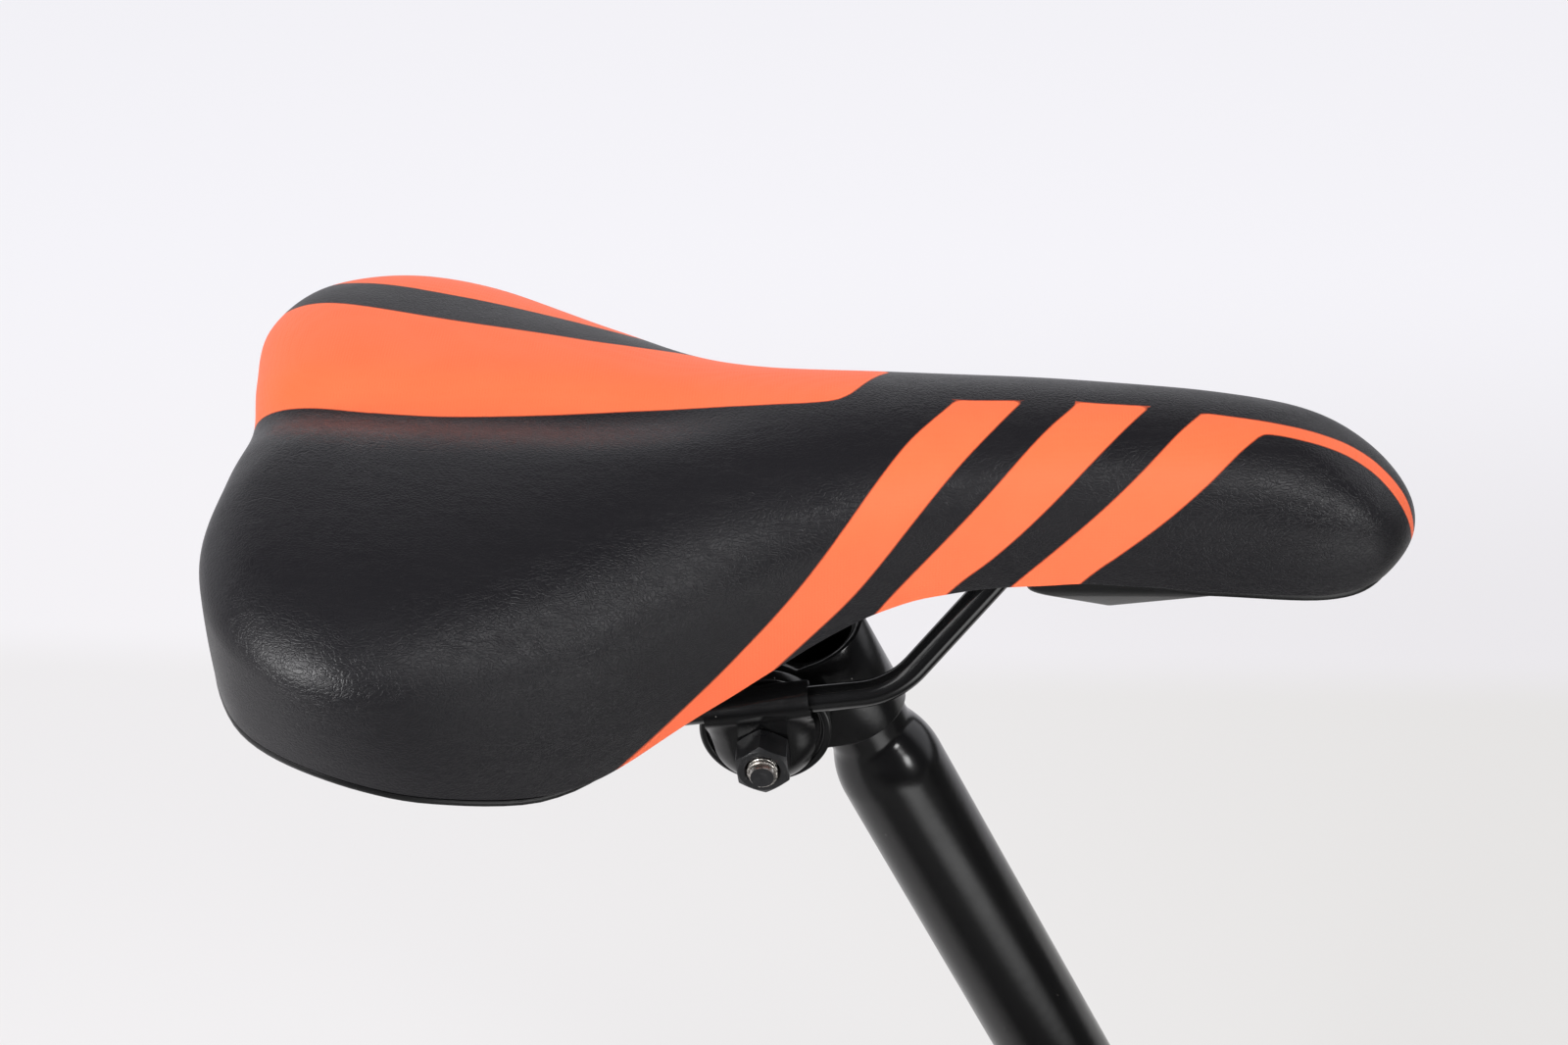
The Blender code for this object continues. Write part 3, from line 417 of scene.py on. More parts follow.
teeth_paint = node(serrations, "GeometryNodeSetMaterial", {
    "Geometry": teeth_real.outputs[0], "Material": asked["Paint"]})
serrations.links.new(teeth_paint.outputs[0], given[0])


def grown(name, tree, values, place):
    """A piece made by a geometry node tree, turned into a plain mesh and put in place."""
    made = in_scene(name, bpy.data.meshes.new(name))
    change = made.modifiers.new("made", "NODES")
    change.node_group = tree
    for item in tree.interface.items_tree:
        if item.in_out == "INPUT" and item.name in values:
            change[item.identifier] = values[item.name]
    plain_mesh(made)
    made.data.transform(place)
    return made


def serrated_ring(name, place, body):
    """One ring of coined teeth, which rides with its plate."""
    ring = grown(name, serrations, {"Paint": clamp_paint}, place)
    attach(ring, body)


for hand, side in ((1, "left"), (-1, "right")):
    face = Matrix.Translation((-STUD_BEHIND_POST, hand * (EAR_CREST - TOOTH_HEIGHT), 0.0))
    serrated_ring(f"ear_serrations_{side}", band_frame @ face @ Matrix.Rotation(-hand * quarter, 4, "X"), "band")


# Inner plates: one each side, a pressed dish with a rolled rim that turns on the ear's teeth, and
# a raised pad whose long groove takes the lower half of the rail. Pressed steel, painted.
RAIL_TILT = math.radians(9.4)
RAIL_RADIUS = 0.0035
RAIL_HALF_GAUGE = 0.0220
RAIL_ABOVE_STUD = 0.0106
RAIL_GROOVE = RAIL_RADIUS + TOUCH
DISC_RADIUS = EAR_RADIUS + 0.0010
DISC_BACK = DISC_CREST + TOOTH_HEIGHT
DISC_BACK_ROUND = 0.0012
DISC_FACE = DISC_BACK + 0.0026
RIM_TOP = DISC_FACE + 0.0020
RIM_WALL = 0.0020
RIM_FLARE = 0.0008
RIM_FILLET = 0.0006
DISH_ARC_STEPS = 5
PAD_HALF_LENGTH = 0.0135
PAD_LOW = RAIL_ABOVE_STUD - 0.0058
PAD_TOP = RAIL_ABOVE_STUD + 0.0019
PAD_FACE = RAIL_HALF_GAUGE - 0.0015
PAD_ROUND = 0.0007
BORE_SIDES = 64

STUD = POST_UP * STUD_HEIGHT - POST_AHEAD * STUD_BEHIND_POST
clamp_frame = Matrix.Translation(STUD) @ Matrix.Rotation(-RAIL_TILT, 4, "Y")
rim_round = RIM_WALL / 2 - 0.0001
dish = [tuple(point) for point in round_corners([
    ((STUD_HOLE, DISC_BACK), 0.0),
    ((DISC_RADIUS, DISC_BACK), DISC_BACK_ROUND),
    ((DISC_RADIUS, RIM_TOP), rim_round),
    ((DISC_RADIUS - RIM_WALL, RIM_TOP), rim_round),
    ((DISC_RADIUS - RIM_WALL - RIM_FLARE, DISC_FACE), RIM_FILLET),
    ((STUD_HOLE, DISC_FACE), 0.0),
], DISH_ARC_STEPS)]
pad_side = [(-PAD_HALF_LENGTH, PAD_LOW), (PAD_HALF_LENGTH, PAD_LOW),
            (PAD_HALF_LENGTH, PAD_TOP), (-PAD_HALF_LENGTH, PAD_TOP)]
groove_reach = Vector((2 * DISC_RADIUS, 0, 0))


def put_together(name, pieces):
    """Several closed bodies in one object, as one moulding or one weldment."""
    bm = bmesh.new()
    for piece in pieces:
        bm.from_mesh(piece.data)
        bpy.data.objects.remove(piece, do_unlink=True)
    mesh = bpy.data.meshes.new(name)
    bm.to_mesh(mesh)
    bm.free()
    return in_scene(name, mesh)


for hand, side in ((1, "left"), (-1, "right")):
    outwards = clamp_frame @ Matrix.Rotation(-hand * quarter, 4, "X")
    disc = piece_from("dish", *turned(dish, ROUND_SIDES, outwards))
    low, high = sorted((hand * (DISC_BACK + TOOTH_HEIGHT), hand * PAD_FACE))
    pad = softened(pushed_out("rail_pad", pad_side, low, high, "Y", clamp_frame), PAD_ROUND, 3)
    rail_at = Vector((0.0, hand * RAIL_HALF_GAUGE, RAIL_ABOVE_STUD))
    for piece in (disc, pad):
        cut(piece, rod("rail_groove", RAIL_GROOVE, clamp_frame @ (rail_at - groove_reach),
                       clamp_frame @ (rail_at + groove_reach), BORE_SIDES), "DIFFERENCE")
    plate = put_together(f"inner_plate_{side}_pressing", [disc, pad])
    smoothed(plate.data, 40.0)
    plate.data.materials.append(clamp_paint)
    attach(plate, "cradle")
    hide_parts(f"inner_plate_{side}")
    back = clamp_frame @ Matrix.Translation((0.0, hand * DISC_BACK, 0.0))
    serrated_ring(f"plate_serrations_{side}", back @ Matrix.Rotation(hand * quarter, 4, "X"), "cradle")


# Outer plates: one each side, 2 mm steel pressed into a shallow bowl with a round lower edge, and
# rolled over the rail at the top. The nut draws them in against the rail.
PRESS_WALL = 0.0020
PRESS_HALF_LENGTH = 0.0135
PRESS_ROUND = 0.0122
PRESS_BESIDE_RAIL = 0.0034
PRESS_MID = RAIL_HALF_GAUGE + PRESS_BESIDE_RAIL + PRESS_WALL / 2
PRESS_ROLL_TOP = math.radians(98.0)
PRESS_BOWL = 0.0030
BOWL_TOP = 0.0010
BOWL_FADE = 0.0060
BOSS_RADIUS = 0.0070
PRESS_EDGE = 0.0005
PRESS_ACROSS = 28
ROLL_STEPS = 14
STRAIGHT_STEPS = 4
LOWER_STEPS = 19

roll_radius = RAIL_GROOVE + PRESS_WALL / 2
roll_end = -math.acos((PRESS_MID - RAIL_HALF_GAUGE) / roll_radius)
straight_from = RAIL_ABOVE_STUD + roll_radius * math.sin(roll_end)
# Lines across the plate from the roll's lip to the foot: half length, distance out, height
press_lines = [(PRESS_HALF_LENGTH, y, z) for y, z in
               arc((RAIL_HALF_GAUGE, RAIL_ABOVE_STUD), roll_radius, PRESS_ROLL_TOP, roll_end, ROLL_STEPS)]
for step in range(1, STRAIGHT_STEPS + 1):
    press_lines.append((PRESS_HALF_LENGTH - (PRESS_HALF_LENGTH - PRESS_ROUND) * step / STRAIGHT_STEPS,
                        PRESS_MID, straight_from * (1 - step / STRAIGHT_STEPS)))
for step in range(1, LOWER_STEPS):
    turn = quarter * step / LOWER_STEPS
    press_lines.append((PRESS_ROUND * math.cos(turn), PRESS_MID, -PRESS_ROUND * math.sin(turn)))

for hand, side in ((1, "left"), (-1, "right")):
    points, faces = [], []
    for half, y, z in press_lines:
        for across in range(PRESS_ACROSS + 1):
            x = half * math.sin(math.pi * (across / PRESS_ACROSS - 0.5))
            reach = math.hypot(x, min(z, 0.0))
            sunk = PRESS_BOWL * max(0.0, (reach - BOSS_RADIUS) / (PRESS_ROUND - BOSS_RADIUS)) ** 2
            sunk *= min(1.0, max(0.0, (straight_from + BOWL_TOP - z) / BOWL_FADE))
            points.append(clamp_frame @ Vector((x, hand * (y - sunk), z)))
    row = PRESS_ACROSS + 1
    for level in range(len(press_lines) - 1):
        for across in range(PRESS_ACROSS):
            first = level * row + across
            faces.append((first, first + 1, first + row + 1, first + row))
    press = piece_from("pressing", points, faces, 80.0)
    if hand * sum(face.normal.y * face.area for face in press.data.polygons) < 0:
        press.data.flip_normals()
    wall = press.modifiers.new("wall", "SOLIDIFY")
    wall.thickness = PRESS_WALL
    wall.offset = 0.0
    wall.use_even_offset = True
    plain_mesh(press)
    softened(press, PRESS_EDGE, 3, 50.0)
    cut(press, rod("stud_drill", STUD_HOLE, clamp_frame @ Vector((0, hand * PAD_FACE, 0)),
                   clamp_frame @ Vector((0, hand * (PRESS_MID + 2 * PRESS_WALL), 0)), DRILL_SIDES), "DIFFERENCE")
    # The cut can leave a hair-thin slit at the bevel, which is closed here
    bm = bmesh.new()
    bm.from_mesh(press.data)
    bmesh.ops.holes_fill(bm, edges=bm.edges, sides=4)
    bm.to_mesh(press.data)
    bm.free()
    press.name = f"outer_plate_{side}_pressing"
    smoothed(press.data, 45.0)
    press.data.materials.clear()
    press.data.materials.append(clamp_paint)
    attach(press, "cradle")
    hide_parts(f"outer_plate_{side}")


# Stud and nuts: an M8 stud across the clamp with rolled threads at both ends, and a chamfered
# nut, 13 mm across flats, on each. The nuts are blacked, and the stud's threads shine where they show.
STUD_RADIUS = 0.0040
STUD_CORE = 0.0034
STUD_CHAMFER = 0.0006
STUD_CHAMFER_IN = 0.0004
STUD_PROUD = 0.0025
DIMPLE_RADIUS = 0.0016
DIMPLE_DEPTH = 0.0004
BLACKED_END = 0.0029
THREAD_PITCH = 0.00125
THREAD_RIDGE = 0.0005
THREAD_START = 0.0005
THREAD_SHORT = 0.0016
NUT_FLATS = 0.0130
NUT_HEIGHT = 0.0080
NUT_SPARE = 0.0010
NUT_ROUND = 0.00018
NUT_CHAMFER = 0.0007
BORE_FLARE = 0.0009
BORE_FLARE_DEPTH = 0.0005
NUT_TURNS = {"left": math.radians(17.0), "right": math.radians(3.0)}
NUT_SEAT = PRESS_MID + PRESS_WALL / 2 + TOUCH
STUD_HALF = NUT_SEAT + NUT_HEIGHT + STUD_PROUD
THREAD_FROM = NUT_SEAT - 0.0040
NUT_BLACK = (0.011, 0.011, 0.012)
NUT_RUBBED = (0.07, 0.066, 0.06)
STEEL_CLEAN = (0.62, 0.59, 0.55)
STEEL_GRIMY = (0.16, 0.15, 0.14)

nut_black, tree, shader, place = new_finish("nut_finish", (0.012, 0.012, 0.013), 0.30)
coat = node(tree, "ShaderNodeGroup", {
    "Place": place, "Ripple Scale": 900.0, "Gloss": 0.27, "Dust": 1.0}, node_tree=sprayed).outputs
scuffed = spread(tree, mottle(tree, place, 700.0, 5.0, Roughness=0.7), 0.62, 0.72, 0.0, 0.7)
wired(tree, shader, blend(tree, scuffed, NUT_BLACK, NUT_RUBBED), coat["Roughness"], coat["Height"], depth=0.00006)

along_stud = clamp_frame @ Matrix.Rotation(-quarter, 4, "X")
corner = NUT_FLATS / 2 / math.cos(math.pi / 6)
hexagon = [(corner * math.sin(k * math.pi / 3), corner * math.cos(k * math.pi / 3)) for k in range(6)]
for hand, side in ((1, "left"), (-1, "right")):
    low, high = sorted((hand * NUT_SEAT, hand * (NUT_SEAT + NUT_HEIGHT)))
    nut = pushed_out(f"nut_{side}_hexagon", hexagon, low - NUT_SPARE, high + NUT_SPARE, "Y",
                     clamp_frame @ Matrix.Rotation(NUT_TURNS[side], 4, "Y"))
    softened(nut, NUT_ROUND, 2, 50.0)
    face, wide = NUT_FLATS / 2 - TOUCH, corner + TOUCH
    cone = [(0.0, low), (face, low), (wide, low + NUT_CHAMFER), (wide, high - NUT_CHAMFER), (face, high), (0.0, high)]
    cut(nut, piece_from("chamfer", *turned(cone, ROUND_SIDES, along_stud)), "INTERSECT")
    flared = STUD_HOLE + BORE_FLARE
    bore = [(0.0, low - NUT_SPARE), (flared, low - NUT_SPARE), (STUD_HOLE, low + BORE_FLARE_DEPTH),
            (STUD_HOLE, high - BORE_FLARE_DEPTH), (flared, high + NUT_SPARE), (0.0, high + NUT_SPARE)]
    cut(nut, piece_from("bore", *turned(bore, BORE_SIDES, along_stud)), "DIFFERENCE")
    smoothed(nut.data, 14.0)
    nut.data.materials.clear()
    nut.data.materials.append(nut_black)
    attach(nut, "cradle")
    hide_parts(f"nut_{side}")

steel, tree, shader, place = new_finish("stud_steel", (0.60, 0.57, 0.53), 0.28, metallic=1.0)
grime = mottle(tree, place, 1500.0, 4.0)
wired(tree, shader, blend(tree, spread(tree, grime, 0.45, 0.65), STEEL_CLEAN, STEEL_GRIMY),
      spread(tree, grime, 0.3, 0.7, 0.2, 0.5))

core = [(0.0, -STUD_HALF + DIMPLE_DEPTH), (0.75 * DIMPLE_RADIUS, -STUD_HALF + DIMPLE_DEPTH / 4),
        (DIMPLE_RADIUS, -STUD_HALF), (STUD_CORE - STUD_CHAMFER_IN, -STUD_HALF), (STUD_CORE, -STUD_HALF + STUD_CHAMFER),
        (STUD_CORE, -THREAD_FROM), (STUD_RADIUS, -THREAD_FROM + STUD_CHAMFER)]
core += [(radius, -height) for radius, height in reversed(core)]
stud = piece_from("clamp_stud_rod", *turned(core, BORE_SIDES, along_stud))
stud.data.materials.append(steel)
stud.data.materials.append(nut_black)
for face in stud.data.polygons:
    middle = clamp_frame.inverted() @ face.center
    if abs(middle.y) > STUD_HALF - DIMPLE_DEPTH and math.hypot(middle.x, middle.z) < BLACKED_END:
        face.material_index = 1
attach(stud, "cradle")
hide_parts("clamp_stud")

threads, asked, given = group_of(
    "rolled_thread", "GeometryNodeTree",
    [("Geometry", "NodeSocketGeometry", None), ("Pitch", "NodeSocketFloat", THREAD_PITCH),
     ("Length", "NodeSocketFloat", 0.01), ("Mean Radius", "NodeSocketFloat", STUD_CORE + 0.0001),
     ("Ridge", "NodeSocketFloat", THREAD_RIDGE), ("Metal", "NodeSocketMaterial", None)],
    [("Geometry", "NodeSocketGeometry")])
helix = node(threads, "GeometryNodeCurveSpiral", {
    "Resolution": 40, "Rotations": maths(threads, "DIVIDE", asked["Length"], asked["Pitch"]),
    "Start Radius": asked["Mean Radius"], "End Radius": asked["Mean Radius"], "Height": asked["Length"]})
ridge = node(threads, "GeometryNodeCurvePrimitiveCircle", {"Resolution": 4, "Radius": asked["Ridge"]}, mode="RADIUS")
ridge_swept = node(threads, "GeometryNodeCurveToMesh", {
    "Curve": helix.outputs[0], "Profile Curve": ridge.outputs["Curve"], "Fill Caps": True})
ridge_real = node(threads, "GeometryNodeRealizeInstances", {"Geometry": ridge_swept.outputs[0]})
ridge_metal = node(threads, "GeometryNodeSetMaterial", {
    "Geometry": ridge_real.outputs[0], "Material": asked["Metal"]})
threads.links.new(ridge_metal.outputs[0], given[0])
thread_length = STUD_HALF - THREAD_FROM - THREAD_SHORT
for hand, side in ((1, "left"), (-1, "right")):
    start = Matrix.Rotation(-hand * quarter, 4, "X") @ Matrix.Translation((0, 0, THREAD_FROM + THREAD_START))
    thread = grown(f"stud_thread_{side}", threads, {"Length": thread_length, "Metal": steel}, clamp_frame @ start)
    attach(thread, "cradle")


# Rails: one 7 mm steel rod bent into two parallel legs, which rise to a loop held in the nose
# and spread to two sockets at the rear. Gloss black paint over the whole rod.
RAIL_STEPS = 12
RAIL_SIDES = 28
RAIL_CHAMFER = 0.0006
RAIL_END = (-0.0980, 0.0380, 0.0455)
REAR_BEND = -0.0460
REAR_BEND_RADIUS = 0.0250
FRONT_BEND = 0.0325
FRONT_BEND_RADIUS = 0.0220
LOOP_START = 0.0612
LOOP_END = (0.1000, 0.0470)
LOOP_HALF = 0.0080
RAIL_BLACK = (0.0045, 0.0045, 0.0047)


def rail_height(x):
    """Height of the rail's straight run over the stud, at a place along it."""
    return RAIL_ABOVE_STUD / math.cos(RAIL_TILT) + x * math.tan(RAIL_TILT)


rail_leg = [
    (RAIL_END, 0.0),
    ((REAR_BEND, RAIL_HALF_GAUGE, rail_height(REAR_BEND)), REAR_BEND_RADIUS),
    ((FRONT_BEND, RAIL_HALF_GAUGE, rail_height(FRONT_BEND)), FRONT_BEND_RADIUS),
    ((LOOP_START, LOOP_HALF, LOOP_END[1]), LOOP_HALF),
    ((LOOP_END[0], LOOP_HALF, LOOP_END[1]), LOOP_HALF),
]
rail_line = round_corners(rail_leg + [((x, -y, z), radius) for (x, y, z), radius in reversed(rail_leg)], RAIL_STEPS)
rail_stations = []
heading = (rail_line[1] - rail_line[0]).normalized()
up = heading.orthogonal().normalized()
for index, point in enumerate(rail_line):
    ahead = rail_line[min(index + 1, len(rail_line) - 1)] - rail_line[max(index - 1, 0)]
    turn = heading.rotation_difference(ahead.normalized())
    heading = ahead.normalized()
    up = (turn @ up).normalized()
    rail_stations.append((point, up.copy(), heading.cross(up), heading.copy()))


def hoop(station, radius, shift=0.0):
    """A ring round the rod at one of its stations."""
    point, up, beside, heading = station
    turns = [2 * math.pi * k / RAIL_SIDES for k in range(RAIL_SIDES)]
    return [STUD + point + heading * shift + (up * math.cos(a) + beside * math.sin(a)) * radius for a in turns]


rail_face = RAIL_RADIUS - RAIL_CHAMFER
first, last = rail_stations[0], rail_stations[-1]
hoops = [hoop(first, 0.0), hoop(first, rail_face), hoop(first, RAIL_RADIUS, RAIL_CHAMFER)]
hoops += [hoop(station, RAIL_RADIUS) for station in rail_stations[1:-1]]
hoops += [hoop(last, RAIL_RADIUS, -RAIL_CHAMFER), hoop(last, rail_face), hoop(last, 0.0)]
rails = piece_from("saddle_rail_rod", *joined_rings(hoops, closed=False), sharp=50.0)
rail_paint = black_paint("rail_paint", RAIL_BLACK, gloss=0.13, ripple_scale=480.0, ripple_depth=0.00002, dust=0.5)
rails.data.materials.append(rail_paint)
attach(rails, "saddle")
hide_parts("saddle_rails")


# Shell: the moulded base of the saddle, one piece of glossy black plastic. A thin dome carries the
# foam, a rounded lip shows below the cover at the rear, and ribs, a nose keel and two sockets sit under it.

# Edge of the saddle, nose to rear: along, half width, and the heights of its widest line and its
# lower edge, all from the stud
EDGE_STATIONS = (
    (0.1610, 0.0000, 0.0570, 0.0500),
    (0.1550, 0.0140, 0.0585, 0.0480),
    (0.1400, 0.0205, 0.0635, 0.0462),
    (0.1100, 0.0223, 0.0685, 0.0478),
    (0.0700, 0.0243, 0.0705, 0.0500),
    (0.0300, 0.0300, 0.0675, 0.0450),
    (-0.0100, 0.0446, 0.0560, 0.0255),
    (-0.0420, 0.0665, 0.0510, 0.0168),
    (-0.0750, 0.0838, 0.0555, 0.0272),
    (-0.1010, 0.0858, 0.0600, 0.0358),
    (-0.1230, 0.0738, 0.0640, 0.0405),
    (-0.1332, 0.0500, 0.0675, 0.0450),
    (-0.1318, 0.0245, 0.0705, 0.0480),
    (-0.1287, 0.0000, 0.0710, 0.0495),
)
EDGE_STEPS = 8
CROWN_STATIONS = (
    (-0.1330, 0.0870), (-0.0960, 0.0855), (-0.0600, 0.0846), (-0.0300, 0.0844), (0.0000, 0.0870),
    (0.0350, 0.0900), (0.0700, 0.0908), (0.1000, 0.0897), (0.1250, 0.0870), (0.1610, 0.0800),
)
SPINE_REAR = -0.0980
SPINE_FRONT = 0.1180
SKIRT_TUCK = 0.0028
SKIRT_TUCK_REAR = 0.0010
COVER_THICK = 0.0012
FOAM_THICK = 0.0240
FOAM_EDGE = 0.0036
SHELL_WALL = 0.0030
SHELL_LIP = 0.0020
LIP_INSET = 0.0030
LIP_ROUND = 0.0007
LIP_NOSE_OUT = 0.48
LIP_NOSE_DEEP = 0.35
# Where along the saddle a change starts, and the length that it takes
TUCK_RAMP = (-0.1250, 0.0350)
LIP_RAMP = (-0.0520, 0.0220)
NOSE_RAMP = (0.0750, 0.0350)
DOME_FULLNESS = 2.6
DOME_RINGS = (0.0, 0.14, 0.28, 0.42, 0.55, 0.66, 0.76, 0.84, 0.90, 0.945, 0.975, 0.993, 1.0)
SHELL_DARK = (0.0050, 0.0050, 0.0053)
SHELL_PALE = (0.0080, 0.0080, 0.0083)


def smooth_between(stations, place):
    """Heights between (place, height) stations, by a monotone cubic."""
    xs, ys = np.array(stations).T
    step = np.diff(xs)
    slope = np.diff(ys) / step
    lean = np.zeros(len(xs))
    same = slope[:-1] * slope[1:] > 0
    lean[1:-1][same] = 2 * slope[:-1][same] * slope[1:][same] / (slope[:-1] + slope[1:])[same]
    lean[0], lean[-1] = slope[0], slope[-1]
    place = np.clip(place, xs[0], xs[-1])
    at = np.clip(np.searchsorted(xs, place) - 1, 0, len(step) - 1)
    t = (place - xs[at]) / step[at]
    rise = step[at]
    return ((1 + 2 * t) * (1 - t) ** 2 * ys[at] + t * (1 - t) ** 2 * rise * lean[at]
            + t * t * (3 - 2 * t) * ys[at + 1] + t * t * (t - 1) * rise * lean[at + 1])


def through(p0, p1, p2, p3, t):
    """A point between p1 and p2 on the smooth line through all four."""
    return 0.5 * (2 * p1 + (p2 - p0) * t + (2 * p0 - 5 * p1 + 4 * p2 - p3) * t * t
                  + (3 * p1 - 3 * p2 + p3 - p0) * t ** 3)


def ramp(values, start, length):
    """0 up to a start, 1 from a length beyond it, and straight between."""
    return np.clip((values - start) / length, 0.0, 1.0)


def saddle_edge():
    """The edge as a smooth closed line of (x, y, widest height, lower height), and its inward directions."""
    half = [np.array(station) for station in EDGE_STATIONS]
    mirror = np.array((1.0, -1.0, 1.0, 1.0))
    around = half + [station * mirror for station in reversed(half[1:-1])]
    rows = []
    for index in range(len(around)):
        corners = [around[(index + shift) % len(around)] for shift in (-1, 0, 1, 2)]
        rows += [through(*corners, step / EDGE_STEPS) for step in range(EDGE_STEPS)]
    rows = np.array(rows)
    ahead = np.roll(rows[:, :2], -1, axis=0) - np.roll(rows[:, :2], 1, axis=0)
    inward = np.stack([-ahead[:, 1], ahead[:, 0]], axis=1)
    inward /= np.linalg.norm(inward, axis=1)[:, None]
    middle = np.array([(SPINE_REAR + SPINE_FRONT) / 2, 0.0])
    if np.sum(inward * (middle - rows[:, :2])) < 0:
        inward = -inward
    return rows, inward


edge_rows, edge_inward = saddle_edge()
edge_place, edge_widest, edge_low = edge_rows[:, :2], edge_rows[:, 2], edge_rows[:, 3]
tuck_share = ramp(edge_rows[:, 0], *TUCK_RAMP)
edge_tuck = (SKIRT_TUCK_REAR + (SKIRT_TUCK - SKIRT_TUCK_REAR) * tuck_share)[:, None]
edge_spine = np.zeros_like(edge_place)
edge_spine[:, 0] = np.clip(edge_rows[:, 0], SPINE_REAR, SPINE_FRONT)


def dome_base(wall):
    """Where the dome's skin meets the lip, a wall's thickness under its outside."""
    return edge_place + edge_inward * (edge_tuck + COVER_THICK + FOAM_EDGE + 2 * TOUCH + wall)


def dome_rings(wall, base_drop):
    """The dome, a wall's thickness under its outside, from the spine down to its base."""
    base = dome_base(wall)
    low = edge_low - base_drop
    rings = []
    for out in DOME_RINGS:
        place = edge_spine + (base - edge_spine) * out
        top = smooth_between(CROWN_STATIONS, place[:, 0]) - FOAM_THICK - wall
        fall = math.sqrt(max(0.0, 1 - out ** DOME_FULLNESS))
        rings.append(np.column_stack([place, low + (top - low) * fall]))
    return rings


def saddle_skin(name, rings, sharp=35.0):
    """A closed body from rings over the stud, the first and last of which lie along the spine."""
    rings = [[STUD + Vector(point) for point in ring] for ring in rings]
    return piece_from(name, *joined_rings(rings, closed=False), sharp=sharp)


lip_share = ramp(edge_rows[:, 0], *LIP_RAMP)
nose_share = ramp(edge_rows[:, 0], *NOSE_RAMP)
lip_in = edge_tuck + LIP_INSET * (lip_share * (1 - LIP_NOSE_OUT * nose_share))[:, None]
lip_place = edge_place + edge_inward * lip_in
lip_deep = SHELL_LIP * (1 + LIP_NOSE_DEEP * nose_share)
lip_rings = []
for inset, drop in ((LIP_ROUND, 0.0), (0.25 * LIP_ROUND, 0.25 * LIP_ROUND), (0.0, LIP_ROUND),
                    (0.0, lip_deep - LIP_ROUND), (0.25 * LIP_ROUND, lip_deep - 0.25 * LIP_ROUND),
                    (LIP_ROUND, lip_deep)):
    lip_rings.append(np.column_stack([lip_place + edge_inward * inset, edge_low - drop]))
dome = saddle_skin("dome", dome_rings(0.0, 0.0) + lip_rings + dome_rings(SHELL_WALL, SHELL_LIP)[::-1])


def under_dome(x, y):
    """Height of the dome's underside, for a place between the spine's ends."""
    base = dome_base(SHELL_WALL)
    left = base[:, 1] > 0
    order = np.argsort(base[left, 0])
    half = np.interp(x, base[left, 0][order], base[left, 1][order])
    low = np.interp(x, base[left, 0][order], edge_low[left][order]) - SHELL_LIP
    top = float(smooth_between(CROWN_STATIONS, np.array([x]))[0]) - FOAM_THICK - SHELL_WALL
    return low + (top - low) * math.sqrt(1 - min(1.0, abs(y) / half) ** DOME_FULLNESS)


RIB_THICK = 0.0022
RIB_FOOT_ROUND = 0.0006
RIB_DEPTH = 0.0045
RIB_ROOT = 0.0009
SPINE_RIB_DEPTH = 0.0058
SPINE_RIB_ROOT = 0.0012
CROSS_RIBS = (-0.0780, -0.0450, -0.0140, 0.0190)
CROSS_RIB_HALF_REAR = 0.0520
CROSS_RIB_HALF_FRONT = 0.0120
SPINE_RIB_REAR = CROSS_RIBS[0] - 0.0120
KEEL_REAR = (0.0650, 0.0134)
KEEL_FRONT = (0.1175, 0.0118)
KEEL_LOW = (0.0860, 0.0080, 0.0335)
KEEL_WALL = 0.0020
KEEL_ROUND = 0.0016


def rib(points, depth, rise):
    """A thin moulded rib under the dome, with a rounded foot edge and its root in the wall."""
    heading = (Vector(points[-1]) - Vector(points[0])).normalized()
    across = Vector((-heading.y, heading.x)) * RIB_THICK
    foot = rise - depth
    section = [(-0.5, rise), (-0.5, foot + RIB_FOOT_ROUND), (-0.26, foot), (0.26, foot),
               (0.5, foot + RIB_FOOT_ROUND), (0.5, rise)]
    rings = []
    for x, y in points:
        top = under_dome(x, y)
        rings.append([STUD + Vector((x + across.x * a, y + across.y * a, top + z)) for a, z in section])
    points, faces = joined_rings(rings, closed=False)
    count = len(section)
    last = len(points) - count
    return piece_from("rib", points, faces + [tuple(range(count)), tuple(range(last + count - 1, last - 1, -1))])


spine_rib = [(x, 0.0) for x in np.linspace(SPINE_RIB_REAR, KEEL_REAR[0] + KEEL_WALL, 40)]
shell_parts = [dome, rib(spine_rib, SPINE_RIB_DEPTH, SPINE_RIB_ROOT)]
for x in CROSS_RIBS:
    share = (CROSS_RIBS[-1] - x) / (CROSS_RIBS[-1] - CROSS_RIBS[0])
    width = CROSS_RIB_HALF_FRONT + (CROSS_RIB_HALF_REAR - CROSS_RIB_HALF_FRONT) * share
    shell_parts.append(rib([(x, y) for y in np.linspace(-width, width, 32)], RIB_DEPTH, RIB_ROOT))

# The nose keel is a solid wedge with a pocket for the rail's loop
keel = bmesh.new()
for hand in (-1, 1):
    keel.verts.new(STUD + Vector((KEEL_LOW[0], hand * KEEL_LOW[1], KEEL_LOW[2])))
    for x, half in (KEEL_REAR, KEEL_FRONT):
        for z in (LOOP_END[1] - RAIL_GROOVE - KEEL_WALL, LOOP_END[1] + RAIL_GROOVE + KEEL_WALL):
            keel.verts.new(STUD + Vector((x, hand * half, z)))
bmesh.ops.convex_hull(keel, input=keel.verts)
bmesh.ops.dissolve_limit(keel, angle_limit=math.radians(1.0), verts=keel.verts, edges=keel.edges)
keel = softened(piece_of("keel", keel), KEEL_ROUND, 4, 15.0)
pocket_half = LOOP_HALF + RAIL_GROOVE
pocket_back = KEEL_REAR[0] - KEEL_FRONT[0]
pocket = arc((-LOOP_HALF, 0.0), pocket_half, -quarter, quarter, 32)
pocket += [(pocket_back, pocket_half), (pocket_back, -pocket_half)]
